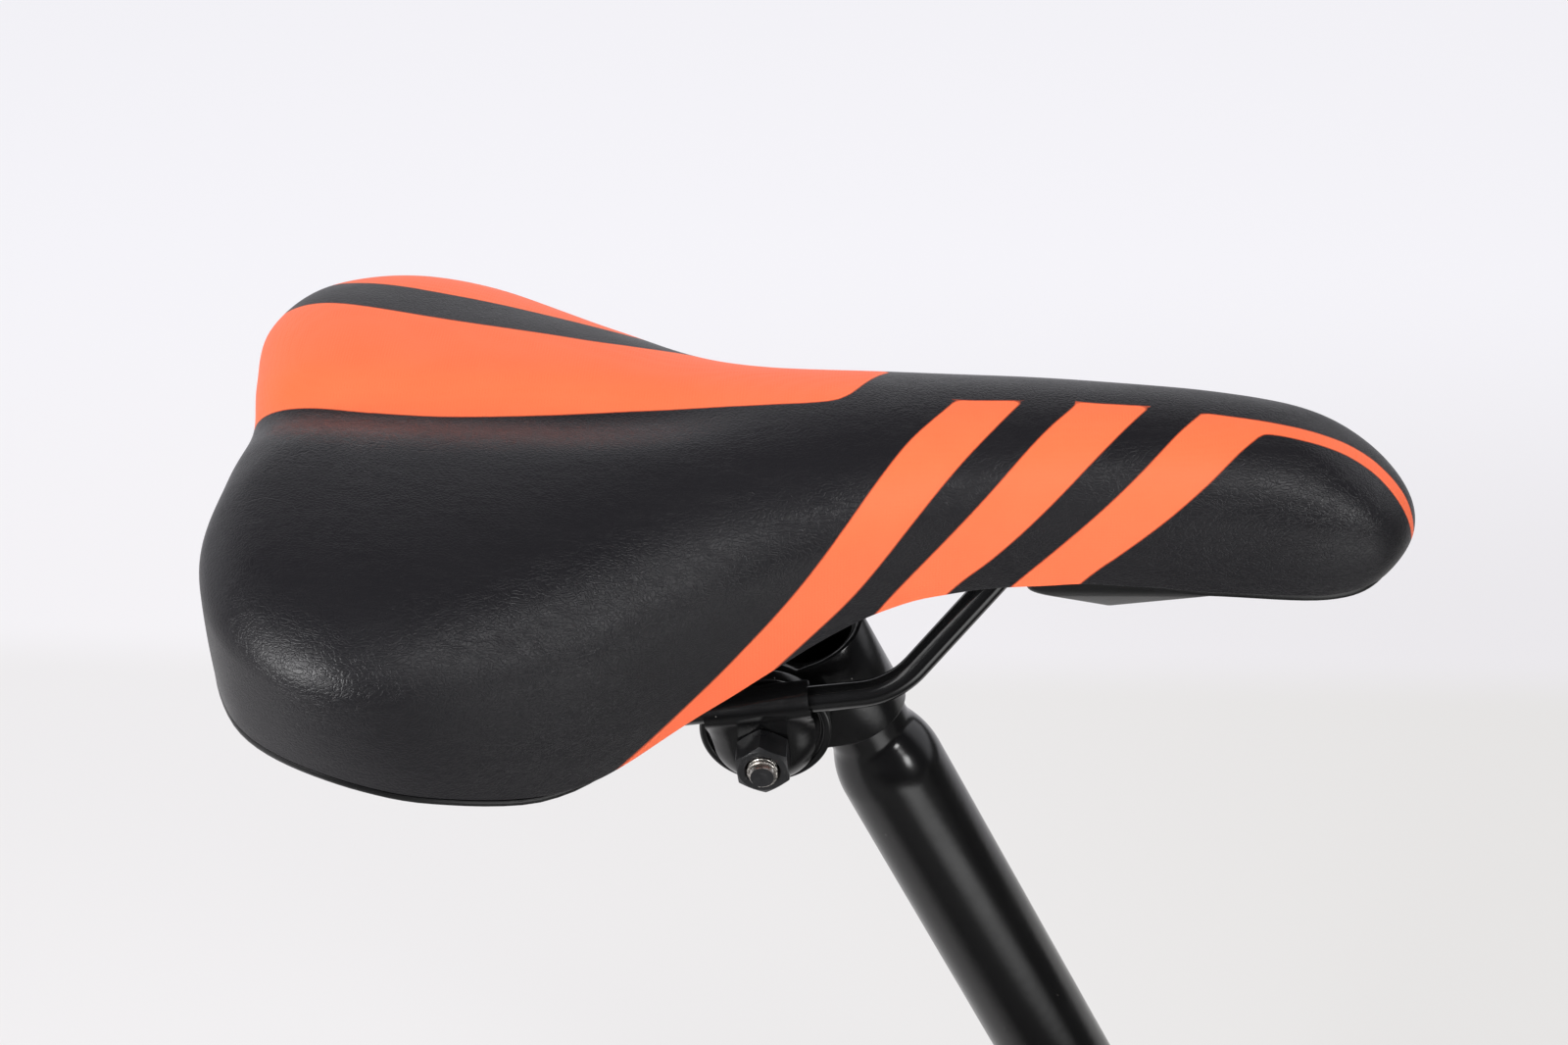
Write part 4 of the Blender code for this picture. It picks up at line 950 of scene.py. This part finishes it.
pocket_place = Matrix.Translation(STUD + Vector((LOOP_END[0], 0.0, LOOP_END[1])))
cut(keel, pushed_out("loop_pocket", pocket, -RAIL_GROOVE, RAIL_GROOVE, "Z", pocket_place), "DIFFERENCE")
shell_parts.append(keel)

SOCKET_RADIUS = 0.0072
SOCKET_BACK = 0.0160
SOCKET_FRONT = 0.0020
SOCKET_BACK_CHAMFER = 0.0006
SOCKET_FRONT_CHAMFER = 0.0008
SOCKET_DRILL_DEPTH = 0.0320
SOCKET_DRILL_SIDES = 40
NECK_HALF = 0.0064
NECK_AHEAD = 0.0060
NECK_BELOW = 0.0029
NECK_ROOT = 0.0012
NECK_ROUND = 0.0012
for hand in (-1, 1):
    end = Vector((RAIL_END[0], hand * RAIL_END[1], RAIL_END[2]))
    along = (end - Vector((REAR_BEND, hand * RAIL_HALF_GAUGE, rail_height(REAR_BEND)))).normalized()
    place = Matrix.Translation(STUD + end) @ along.to_track_quat("Z", "Y").to_matrix().to_4x4()
    barrel = [(0.0, -SOCKET_BACK), (SOCKET_RADIUS - SOCKET_BACK_CHAMFER, -SOCKET_BACK),
              (SOCKET_RADIUS, SOCKET_BACK_CHAMFER - SOCKET_BACK), (SOCKET_RADIUS, SOCKET_FRONT - SOCKET_FRONT_CHAMFER),
              (SOCKET_RADIUS - SOCKET_FRONT_CHAMFER, SOCKET_FRONT), (0.0, SOCKET_FRONT)]
    socket = piece_from("socket", *turned(barrel, DRILL_SIDES, place))
    neck_x = end.x + NECK_AHEAD
    neck = [(neck_x + a * NECK_HALF, end.y + b * NECK_HALF) for a, b in ((-1, -1), (1, -1), (1, 1), (-1, 1))]
    neck_top = under_dome(neck_x, end.y) + NECK_ROOT
    neck = pushed_out("neck", neck, end.z - NECK_BELOW, neck_top, "Z", Matrix.Translation(STUD))
    softened(neck, NECK_ROUND, 3)
    for piece in (socket, neck):
        cut(piece, rod("socket_drill", RAIL_GROOVE, STUD + end - along * SOCKET_DRILL_DEPTH,
                       STUD + end + along * TOUCH, SOCKET_DRILL_SIDES), "DIFFERENCE")
        shell_parts.append(piece)

shell = put_together("saddle_base_moulding", shell_parts)
smoothed(shell.data, 35.0)

# Fine surface grain, shared by the moulded base and the cover's skin: small cells with worn tops,
# crossed here and there by long creases
grained, asked, given = group_of(
    "fine_grain", "ShaderNodeTree",
    [("Place", "NodeSocketVector", None), ("Cells", "NodeSocketFloat", 1000.0),
     ("Creases", "NodeSocketFloat", 0.5), ("Gloss", "NodeSocketFloat", 0.4)],
    [("Height", "NodeSocketFloat"), ("Roughness", "NodeSocketFloat"), ("Crease Mask", "NodeSocketFloat")])
place = asked["Place"]
stir = node(grained, "ShaderNodeTexNoise", {"Vector": place, "Scale": 260.0, "Detail": 3.0})
stir_off = node(grained, "ShaderNodeVectorMath", {
    0: stir.outputs["Color"], 1: (0.5, 0.5, 0.5)}, operation="SUBTRACT")
stir_small = node(grained, "ShaderNodeVectorMath", {0: stir_off.outputs[0], "Scale": 0.0042}, operation="SCALE")
stirred = node(grained, "ShaderNodeVectorMath", {0: place, 1: stir_small.outputs[0]}, operation="ADD")
cells = node(grained, "ShaderNodeTexVoronoi", {
    "Vector": stirred.outputs[0], "Scale": asked["Cells"]}, feature="DISTANCE_TO_EDGE")
cell_tops = spread(grained, cells.outputs["Distance"], 0.0, 0.20, smooth=True)
pores = mottle(grained, place, 2400.0, 2.0)
wander = mottle(grained, place, 60.0, 4.0, Roughness=0.60, Distortion=0.8)
crease_line = maths(grained, "ABSOLUTE", maths(grained, "SUBTRACT", wander, 0.5))
crease_near = spread(grained, crease_line, 0.0, 0.007, 1.0, 0.0, smooth=True)
crease_there = spread(grained, mottle(grained, place, 30.0, 1.0), 0.46, 0.62, smooth=True)
crease_shown = maths(grained, "MULTIPLY", crease_near, crease_there)
crease_mask = maths(grained, "MULTIPLY", crease_shown, asked["Creases"])
grain = maths(grained, "MULTIPLY_ADD", pores, 0.35, cell_tops)
sheen = spread(grained, mottle(grained, place, 40.0, 4.0), 0.3, 0.7, 0.86, 1.16)
grained.links.new(maths(grained, "MULTIPLY_ADD", crease_mask, -1.6, grain), given["Height"])
grained.links.new(maths(grained, "MULTIPLY", sheen, asked["Gloss"]), given["Roughness"])
grained.links.new(crease_mask, given["Crease Mask"])

shell_plastic, tree, shader, place = new_finish("shell_plastic", (0.006, 0.006, 0.0063), 0.28, specular=0.4)
moulded = node(tree, "ShaderNodeGroup", {
    "Place": place, "Cells": 620.0, "Creases": 0.0, "Gloss": 0.28}, node_tree=grained).outputs
flow_tint = blend(tree, mottle(tree, place, 60.0, 3.0), SHELL_DARK, SHELL_PALE)
wired(tree, shader, flow_tint, moulded["Roughness"], moulded["Height"], strength=0.25, depth=0.00003)
shell.data.materials.append(shell_plastic)
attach(shell, "saddle")
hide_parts("saddle_shell")


# Foam: the cushion, moulded in one piece of open-cell foam over the shell's dome, thick on top
# and thin at the edge. The cover hides it, and it is glued to the shell.
SHOULDER_REAR = 3.4
SHOULDER_FRONT = 2.2
SHOULDER_BLEND = 0.0950
GROOVE_DEPTH = 0.0038
GROOVE_HALF_WIDTH = 0.0110
GROOVE_FRONT = 0.0150
GROOVE_FADE = 0.0700
OUTER_CROWN = 0.82
CROWN_FLAT_RINGS = 26
CROWN_ROUND_RINGS = 18
SKIRT_RINGS = 12
FOAM_DARK = (0.40, 0.37, 0.31)
FOAM_PALE = (0.62, 0.58, 0.50)


def groove_depth(x, y):
    """Depth of the shallow channel along the middle of the rear half."""
    share = np.clip((GROOVE_FRONT - x) / GROOVE_FADE, 0.0, 1.0)
    return GROOVE_DEPTH * share * share * (3 - 2 * share) * np.exp(-(y / GROOVE_HALF_WIDTH) ** 2)


def cushion_rings():
    """Outside of the cushion from the spine over the crown and down the skirt to the cover's edge."""
    low = edge_low + TOUCH
    share = ramp(edge_rows[:, 0], -SHOULDER_BLEND, SHOULDER_BLEND)
    power = SHOULDER_REAR + (SHOULDER_FRONT - SHOULDER_REAR) * share
    outs = [np.full(len(power), OUTER_CROWN * k / CROWN_FLAT_RINGS) for k in range(CROWN_FLAT_RINGS)]
    first = np.arcsin(OUTER_CROWN ** (power / 2))
    for k in range(CROWN_ROUND_RINGS + 1):
        outs.append(np.sin(first + (quarter - first) * k / CROWN_ROUND_RINGS) ** (2 / power))
    rings = []
    for out in outs:
        at = edge_spine + (edge_place - edge_spine) * out[:, None]
        crown = smooth_between(CROWN_STATIONS, at[:, 0])
        fall = np.sqrt(np.clip(1 - out ** power, 0.0, 1.0))
        height = edge_widest + (crown - edge_widest) * fall - groove_depth(at[:, 0], at[:, 1]) * (1 - out ** 4)
        rings.append(np.column_stack([at, height]))
    for k in range(1, SKIRT_RINGS + 1):
        down = k / SKIRT_RINGS
        at = edge_place + edge_inward * edge_tuck * down * down
        rings.append(np.column_stack([at, edge_widest - (edge_widest - low) * down]))
    return rings


def set_back(rings, depth):
    """The same rings, moved in from the surface by a depth."""
    grid = np.array(rings)
    around = np.roll(grid, -1, axis=1) - np.roll(grid, 1, axis=1)
    along = np.gradient(grid, axis=0)
    facing = np.cross(along, around)
    length = np.linalg.norm(facing, axis=2)
    facing[length < 1e-13] = (0.0, 0.0, 1.0)
    facing[-1, :, 2] = 0.0
    facing /= np.linalg.norm(facing, axis=2)[:, :, None]
    if facing[6, :, 2].mean() < 0:
        facing = -facing
    facing[0] = (0.0, 0.0, 1.0)
    moved = grid - facing * depth
    moved[0, :, 1] = 0.0
    moved[-1, :, 2] = grid[-1, :, 2]
    return moved


outside = cushion_rings()
foam_top = set_back(outside, COVER_THICK + TOUCH)
foam_under = set_back(dome_rings(0.0, 0.0), -TOUCH)
foam_under[-1][:, 2] = foam_top[-1][:, 2]
foam_lowest = [foam_top[-1]] * (len(foam_top) % 2 == 0)
foam = saddle_skin("foam_cushion", list(foam_top[::2]) + foam_lowest + list(foam_under[::-1]))
foam_look, tree, shader, place = new_finish("foam", (0.55, 0.52, 0.45), 0.9)
bubbles = node(tree, "ShaderNodeTexVoronoi", {"Vector": place, "Scale": 1500.0}).outputs["Distance"]
# Painted shade: the foam is darker in the sunk middles of its cells
wired(tree, shader, blend(tree, bubbles, FOAM_DARK, FOAM_PALE), height=bubbles, strength=0.6, depth=0.0004)
foam.data.materials.append(foam_look)
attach(foam, "saddle")
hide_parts("foam_pad")


# Cover: one panel of 1.2 mm grained vinyl, stretched over the foam and drawn in under the edge,
# where it meets the shell's lip. Black skin, with an orange film printed on it in sharp-edged fields.
HEM_ROUND = COVER_THICK / 2
HEM_FLAT = 0.45
HEM_STEPS = 8
WAVE_SCALE = 34.0
WAVE_HEIGHT = 0.00022
PUCKER_SCALE = (95.0, 30.0)
PUCKER_SIDE = 3.0
PUCKER_DEPTH = 0.00055
PUCKER_REACH = 0.0065
PUCKER_FROM = -0.0200
PUCKER_FADE = 0.0600
ORANGE_DEEP = (0.95, 0.147, 0.050)
ORANGE_LIGHT = (0.98, 0.167, 0.061)
ORANGE_RIM = (0.40, 0.055, 0.016)
VINYL_DARK = (0.0067, 0.0062, 0.0078)
VINYL_PALE = (0.0096, 0.0089, 0.0108)

# The hem turns under at the cover's edge, and the inside runs back up to the spine
hem = []
for k in range(1, HEM_STEPS + 1):
    turn = math.pi * k / HEM_STEPS
    at = outside[-1][:, :2] + edge_inward * HEM_ROUND * (1 - math.cos(turn))
    hem.append(np.column_stack([at, outside[-1][:, 2] - HEM_ROUND * HEM_FLAT * math.sin(turn)]))
inside = set_back(outside, COVER_THICK)[:-1]
cover = saddle_skin("cover_panel", outside + hem + list(inside[::-1][::3]) + [inside[0]], sharp=180.0)

smoother = cover.modifiers.new("stretch", "SUBSURF")
smoother.levels = 1
smoother.render_levels = 1
plain_mesh(cover)

# The printed fields are drawn on the skin laid flat: a length along the saddle, and the distance
# from its middle line, out and down over the shoulder. Plus is the saddle's left. In millimetres.
# Each outline is a list of smooth runs, which meet at its corners.
FAR_FIELD = (
    ((-150, 1.8), (-123, 1.6), (-112, 1.2), (-101, 0.2), (-90, -0.3), (-80, -0.1), (-64, 1.2), (-53, 2.2),
     (-43, 3.0), (-32, 3.5), (-21, 3.2), (-11, 2.2), (-5, 1.4), (5, 0.4), (10, 0.0), (16, 0.3), (19, 1.9),
     (21.1, 4.2), (23.6, 8.6), (26.2, 13.6), (29.6, 19.9)),
    ((29.6, 19.9), (24, 36), (13, 54), (1, 73), (-9, 87), (-20, 101), (-40, 125), (-60, 150)),
    ((-60, 150), (-150, 150)),
)
FAR_STRIPE = (
    ((-126.8, 50.7), (-114.8, 47.8), (-103, 44.7), (-91.5, 42.1), (-80.2, 40.0), (-69, 38.3), (-57.7, 36.6),
     (-46.6, 34.9), (-38, 34.6), (-30, 36.8), (-22, 42), (-14, 52)),
    ((-14, 52), (-20, 70), (-30, 88), (-44, 108), (-60, 130), (-76, 152)),
    ((-76, 152), (-92, 152)),
    ((-92, 152), (-77, 126), (-62, 104), (-48, 86), (-40, 72), (-33, 58), (-37, 50.5), (-47.8, 49.9),
     (-59.2, 51.0), (-70.6, 52.9), (-82.2, 55.3), (-93.8, 58.4), (-105.7, 62.6), (-115, 67), (-123, 75),
     (-129, 88), (-133, 104)),
    ((-133, 104), (-145, 104)),
    ((-145, 104), (-141, 84), (-136, 66), (-131, 55), (-126.8, 50.7)),
)
NEAR_STRIPES = (
    (((44.9, -0.3), (44.6, -2.6), (35.2, -16.3), (27.7, -30.7), (20.7, -45.0), (12.9, -59.3), (3.5, -73.6),
      (-7.4, -87.9), (-19.3, -102.2), (-30.7, -116.5), (-42, -131)),
     ((-42, -131), (-12, -112)),
     ((-12, -112), (0.0, -94), (11.6, -80.6), (21.2, -69.2), (28.8, -58.0), (35.4, -46.9), (41.6, -35.8),
      (48.0, -24.6), (54.8, -13.5), (61.6, -2.3), (62.6, -0.8)),
     ((62.6, -0.8), (50, -0.8), (44.9, -0.3))),
    (((75.0, -0.5), (74.2, -3.2), (68.8, -11.1), (63.6, -19.6), (58.7, -28.0), (53.6, -36.4), (47.9, -44.9),
      (41.8, -53.3), (35.4, -61.8), (29.2, -70.2), (15, -90)),
     ((15, -90), (29, -90)),
     ((29, -90), (38, -75), (47.0, -63.9), (55.3, -55.9), (62.1, -48.3), (68.0, -40.7), (73.2, -33.1),
      (78.0, -25.5), (82.7, -17.9), (87.4, -10.3), (92.3, -2.7), (93.5, -1.0)),
     ((93.5, -1.0), (80, -1.0), (75.0, -0.5))),
    (((105.8, -2.2), (104.8, -3.6), (99.9, -10.8), (95.6, -18.0), (91.3, -25.2), (86.6, -32.4), (81.4, -39.6),
      (75.5, -46.8), (69.1, -54.0), (62.4, -61.1), (46, -79)),
     ((46, -79), (62, -79)),
     ((62, -79), (79.7, -59.3), (86.2, -53.0), (92.5, -46.7), (98.2, -40.4), (103.1, -34.1), (107.5, -27.8),
      (111.4, -21.5), (115.2, -15.3), (119.4, -9.3)),
     ((119.4, -9.3), (121.1, -7.9), (124.0, -7.4), (129.9, -7.0), (135.8, -6.3), (141.8, -5.9), (147.9, -6.6),
      (151, -7.6), (154.1, -9.2), (157.5, -11.5), (159.6, -14.4), (160.2, -16)),
     ((160.2, -16), (160.8, -12.5), (159.8, -8.0), (157.8, -4.4), (154.6, -2.5), (151.5, -1.5), (148.4, -0.7),
      (142.3, -0.5), (136.2, -1.2), (130.2, -1.9), (124.3, -2.4), (112.8, -2.4), (105.8, -2.2))),
)


def drawn(runs):
    """An outline through the points of its runs, smooth within each run."""
    line = []
    for run in runs:
        run = [np.array(point, float) for point in run]
        run = [2 * run[0] - run[1]] + run + [2 * run[-1] - run[-2]]
        for corners in zip(run, run[1:], run[2:], run[3:]):
            line += [through(*corners, t) for t in (0.0, 0.25, 0.5, 0.75)]
    return np.array(line)


def print_distance(points, runs):
    """Signed distance from points to a closed outline, above zero inside it."""
    outline = drawn(runs)
    nearest = np.full(len(points), 1e9)
    within = np.zeros(len(points), bool)
    for start, end in zip(outline, np.roll(outline, -1, axis=0)):
        along = end - start
        share = np.clip(((points - start) @ along) / (along @ along), 0.0, 1.0)
        nearest = np.minimum(nearest, np.linalg.norm(points - start - share[:, None] * along, axis=1))
        if start[1] != end[1]:
            crosses = (start[1] > points[:, 1]) != (end[1] > points[:, 1])
            at = start[0] + (points[:, 1] - start[1]) * along[0] / along[1]
            within ^= crosses & (points[:, 0] < at)
    return np.where(within, nearest, -nearest)


def middle_height(x):
    """Height of the cushion's middle line over the stud."""
    crown = smooth_between(CROWN_STATIONS, x) - groove_depth(x, np.zeros_like(x))
    nose, tail = EDGE_STATIONS[0], EDGE_STATIONS[-1]
    front = np.clip((x - SPINE_FRONT) / (nose[0] - SPINE_FRONT), 0.0, 1.0)
    back = np.clip((SPINE_REAR - x) / (SPINE_REAR - tail[0]), 0.0, 1.0)
    ahead = nose[2] + (crown - nose[2]) * np.sqrt(1 - front ** SHOULDER_FRONT)
    behind = tail[2] + (crown - tail[2]) * np.sqrt(1 - back ** SHOULDER_REAR)
    return np.where(x > 0, ahead, behind)


places = np.empty(len(cover.data.vertices) * 3)
cover.data.vertices.foreach_get("co", places)
places = places.reshape(-1, 3) - np.array(STUD)
across = np.abs(places[:, 1]) + np.maximum(0.0, middle_height(places[:, 0]) - places[:, 2])
hand_of = np.where(places[:, 1] < -1e-5, -1.0, 1.0)
flat = np.column_stack([places[:, 0], hand_of * across]) * 1000
film = np.minimum(print_distance(flat, FAR_FIELD), -print_distance(flat, FAR_STRIPE))
for outline in NEAR_STRIPES:
    film = np.maximum(film, print_distance(flat, outline))
cover.data.attributes.new("film_distance", "FLOAT", "POINT").data.foreach_set("value", film)

# Where the skin is drawn in, it puckers a little along the edge, and the foam gives it slow waves
low_line = np.interp(places[:, 0], *np.array(sorted((row[0], row[3]) for row in EDGE_STATIONS)).T)
near_edge = np.exp(-np.maximum(0.0, places[:, 2] - low_line) / PUCKER_REACH)
near_edge = near_edge * ramp(places[:, 0], PUCKER_FROM, PUCKER_FADE)
for vertex, (x, y, z), hold in zip(cover.data.vertices, places, near_edge):
    slow = noise.noise(Vector((x, y, z)) * WAVE_SCALE) * WAVE_HEIGHT
    fold = Vector((x * PUCKER_SCALE[0], math.copysign(PUCKER_SIDE, y), z * PUCKER_SCALE[1]))
    pucker = noise.noise(fold) * PUCKER_DEPTH * hold
    vertex.co += Vector((0.0, math.copysign(1.0, y), 0.0)) * pucker + Vector((0.0, 0.0, slow))
cover.data.shade_smooth()

vinyl, tree, shader, place = new_finish("cover_vinyl", (0.0075, 0.0075, 0.0082), 0.42, specular=0.35)
drawn_out = node(tree, "ShaderNodeVectorMath", {0: place, 1: (0.6, 1.0, 1.0)}, operation="MULTIPLY")
skin = node(tree, "ShaderNodeGroup", {
    "Place": drawn_out.outputs[0], "Cells": 1150.0, "Creases": 0.9, "Gloss": 0.40}, node_tree=grained).outputs
film_at = node(tree, "ShaderNodeAttribute", attribute_name="film_distance", attribute_type="GEOMETRY").outputs["Fac"]
film_mask = spread(tree, film_at, -0.12, 0.12, smooth=True)
film_rim = spread(tree, film_at, 0.10, 0.50, 1.0, 0.0, smooth=True)
# The film takes the weave of the cloth behind the vinyl
threads_of = [node(tree, "ShaderNodeTexWave", {
    "Vector": place, "Scale": scale, "Distortion": 1.2, "Detail": 1.0, "Detail Scale": 3.0},
    bands_direction=direction).outputs["Fac"] for direction, scale in (("X", 420.0), ("Z", 360.0))]
weave = maths(tree, "MAXIMUM", *threads_of)
orange = blend(tree, mottle(tree, place, 70.0, 3.0), ORANGE_DEEP, ORANGE_LIGHT)
orange = blend(tree, film_rim, orange, ORANGE_RIM)
black = blend(tree, mottle(tree, place, 30.0, 4.0), VINYL_DARK, VINYL_PALE)
film_rough = spread(tree, weave, 0.0, 1.0, 0.58, 0.50)
film_height = maths(tree, "MULTIPLY_ADD", skin["Height"], 0.35, maths(tree, "MULTIPLY", weave, 0.55))
cover_rough, cover_height = (
    node(tree, "ShaderNodeMix", {0: film_mask, 2: bare, 3: printed}, data_type="FLOAT").outputs[0]
    for bare, printed in ((skin["Roughness"], film_rough), (skin["Height"], film_height)))
wired(tree, shader, blend(tree, film_mask, black, orange), cover_rough, cover_height, depth=0.00009)
cover.data.materials.clear()
cover.data.materials.append(vinyl)
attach(cover, "saddle")
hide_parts("saddle_cover")


# Floor: a plain pale sheet whose tone turns paler further back, as a backdrop, with painted shade that makes it a
# little darker to the right. Gloss sees a dim studio painted as a glow on the sheet in front of the saddle, with one
# brighter glowing patch as a painted reflection, and the pale sheet elsewhere.
FLOOR_HALF = 8.0
FLOOR_GAP = 0.0004
NEAR_LEFT = (0.812, 0.799, 0.808)
NEAR_RIGHT = (0.750, 0.738, 0.730)
BACK_LEFT = (0.862, 0.848, 0.872)
BACK_RIGHT = (0.785, 0.770, 0.793)
BACK_HIGH = (0.880, 0.872, 0.910)

floor_low = cad_box[0][2] - FLOOR_GAP
floor = piece_from("studio_floor", [(x * FLOOR_HALF, y * FLOOR_HALF, floor_low) for x, y in
                                    ((-1, -1), (1, -1), (1, 1), (-1, 1))], [(0, 1, 2, 3)])
floor_look = bpy.data.materials.new("studio_floor")
floor_look.use_nodes = True
tree = floor_look.node_tree
tree.nodes.remove(tree.nodes["Principled BSDF"])
floor_place = node(tree, "ShaderNodeTexCoord").outputs["Object"]
place = node(tree, "ShaderNodeSeparateXYZ", {0: floor_place}).outputs
# Painted shade: the floor's tone darkens a little towards the right
shade_to_right = spread(tree, place["X"], -0.40, 0.14, smooth=True)
near_tone = blend(tree, shade_to_right, NEAR_LEFT, NEAR_RIGHT)
back_tone = blend(tree, shade_to_right, BACK_LEFT, BACK_RIGHT)
back_tone = blend(tree, spread(tree, place["Y"], 0.36, 0.66, smooth=True), back_tone, BACK_HIGH)
tone = blend(tree, spread(tree, place["Y"], 0.320, 0.355, smooth=True), near_tone, back_tone)
matte = node(tree, "ShaderNodeBsdfDiffuse", {"Color": tone})
pale = node(tree, "ShaderNodeEmission", {"Color": tone, "Strength": 1.075})
ray = node(tree, "ShaderNodeLightPath").outputs
mirrored = maths(tree, "MULTIPLY", ray["Is Glossy Ray"], 0.6)
seen = maths(tree, "MULTIPLY_ADD", ray["Is Camera Ray"], 0.8, mirrored)
sheet = node(tree, "ShaderNodeMixShader", {0: seen, 1: matte.outputs[0], 2: pale.outputs[0]})
# Painted reflections: in front of the saddle the floor glows for glossy rays only, dim like a studio, with one
# brighter patch
in_front = spread(tree, maths(tree, "MULTIPLY_ADD", place["X"], -0.6, place["Y"]), 0.01, -0.11)
outside_share = maths(tree, "MAXIMUM", in_front, spread(tree, place["X"], 0.50, 0.75))
mirrored_front = maths(tree, "MULTIPLY", ray["Is Glossy Ray"], outside_share)
dim_near = spread(tree, place["Y"], -0.16, -0.34, 0.09, 0.30)
dim_far = spread(tree, place["Y"], -0.5, -1.1, 1.0, 0.15)
glow_distance = node(tree, "ShaderNodeVectorMath", {
    0: floor_place, 1: (0.36, -0.50, floor_low)}, operation="DISTANCE").outputs["Value"]
glowing_patch = spread(tree, glow_distance, 0.12, 0.42, 2.8, 0.0, smooth=True)
dim_level = maths(tree, "MAXIMUM", maths(tree, "MULTIPLY", dim_near, dim_far), glowing_patch)
dim_room = node(tree, "ShaderNodeEmission", {"Strength": dim_level})
mixed = node(tree, "ShaderNodeMixShader", {0: mirrored_front, 1: sheet.outputs[0], 2: dim_room.outputs[0]})
tree.links.new(mixed.outputs[0], tree.nodes["Material Output"].inputs["Surface"])
floor.data.materials.append(floor_look)


# Studio: a white sweep low behind the saddle and a dim room elsewhere, two softboxes and two small
# cards in front for the highlights, and an unmirrored fill overhead.
ROOM_DIM = (0.11, 0.11, 0.12)
SWEEP_WHITE = (1.10, 1.10, 1.15)
BACKDROP = (0.872, 0.865, 0.892, 1.0)

world = bpy.data.worlds.new("studio")
bpy.context.scene.world = world
world.use_nodes = True
tree = world.node_tree
# In the world, Object coordinates are the direction that a ray goes
way = node(tree, "ShaderNodeSeparateXYZ", {0: node(tree, "ShaderNodeTexCoord").outputs["Object"]}).outputs
sweep_low = spread(tree, way["Z"], 0.62, 0.40, smooth=True)
sweep_back = spread(tree, way["Y"], -0.05, 0.35, smooth=True)
sweep = maths(tree, "MULTIPLY", sweep_low, sweep_back)
sky = tree.nodes["Background"]
sky.inputs["Strength"].default_value = 1.0
tree.links.new(blend(tree, sweep, ROOM_DIM, SWEEP_WHITE), sky.inputs["Color"])
backdrop = node(tree, "ShaderNodeBackground", {"Color": BACKDROP, "Strength": 1.0})
ray = node(tree, "ShaderNodeLightPath").outputs
mixed = node(tree, "ShaderNodeMixShader", {0: ray["Is Camera Ray"], 1: sky.outputs[0], 2: backdrop.outputs[0]})
tree.links.new(mixed.outputs[0], tree.nodes["World Output"].inputs["Surface"])


def lamp(name, place, aim, width, height, power, mirrored=True):
    """A rectangular softbox. One that isn't mirrored lights the piece but leaves no highlight."""
    made = bpy.data.lights.new(name, "AREA")
    made.shape = "RECTANGLE"
    made.size = width
    made.size_y = height
    made.energy = power
    held = in_scene(name, made)
    held.location = place
    held.rotation_euler = (Vector(aim) - Vector(place)).to_track_quat("-Z", "Y").to_euler()
    held.visible_glossy = mirrored


lamp("left_softbox", (-0.93, -1.07, 0.60), (-0.2, 0.0, 0.3), 0.66, 0.50, 17.5)
lamp("left_card", (-0.93, -0.70, 1.12), (-0.1, 0.0, 0.3), 1.05, 0.18, 1.8)
lamp("right_softbox", (0.46, -0.84, 1.17), (-0.05, 0.0, 0.32), 0.44, 0.34, 4.4)
lamp("right_card", (0.87, -0.77, 0.60), (-0.1, 0.0, 0.26), 0.24, 0.24, 3.4)
lamp("overhead_fill", (-0.1, 0.35, 1.8), (-0.1, 0.0, 0.3), 1.2, 1.0, 16.8, mirrored=False)

# The camera looks a little down on the saddle's right side
camera = bpy.data.cameras.new("camera")
camera.sensor_width = 36.0
camera.lens = 76.5
seat = in_scene("camera", camera)
seat.location = (-0.1072, -0.6770, 0.8005)
seat.rotation_euler = (math.radians(54.0), 0.0, math.radians(2.4))
bpy.context.scene.camera = seat
bpy.context.scene.view_settings.view_transform = "Standard"
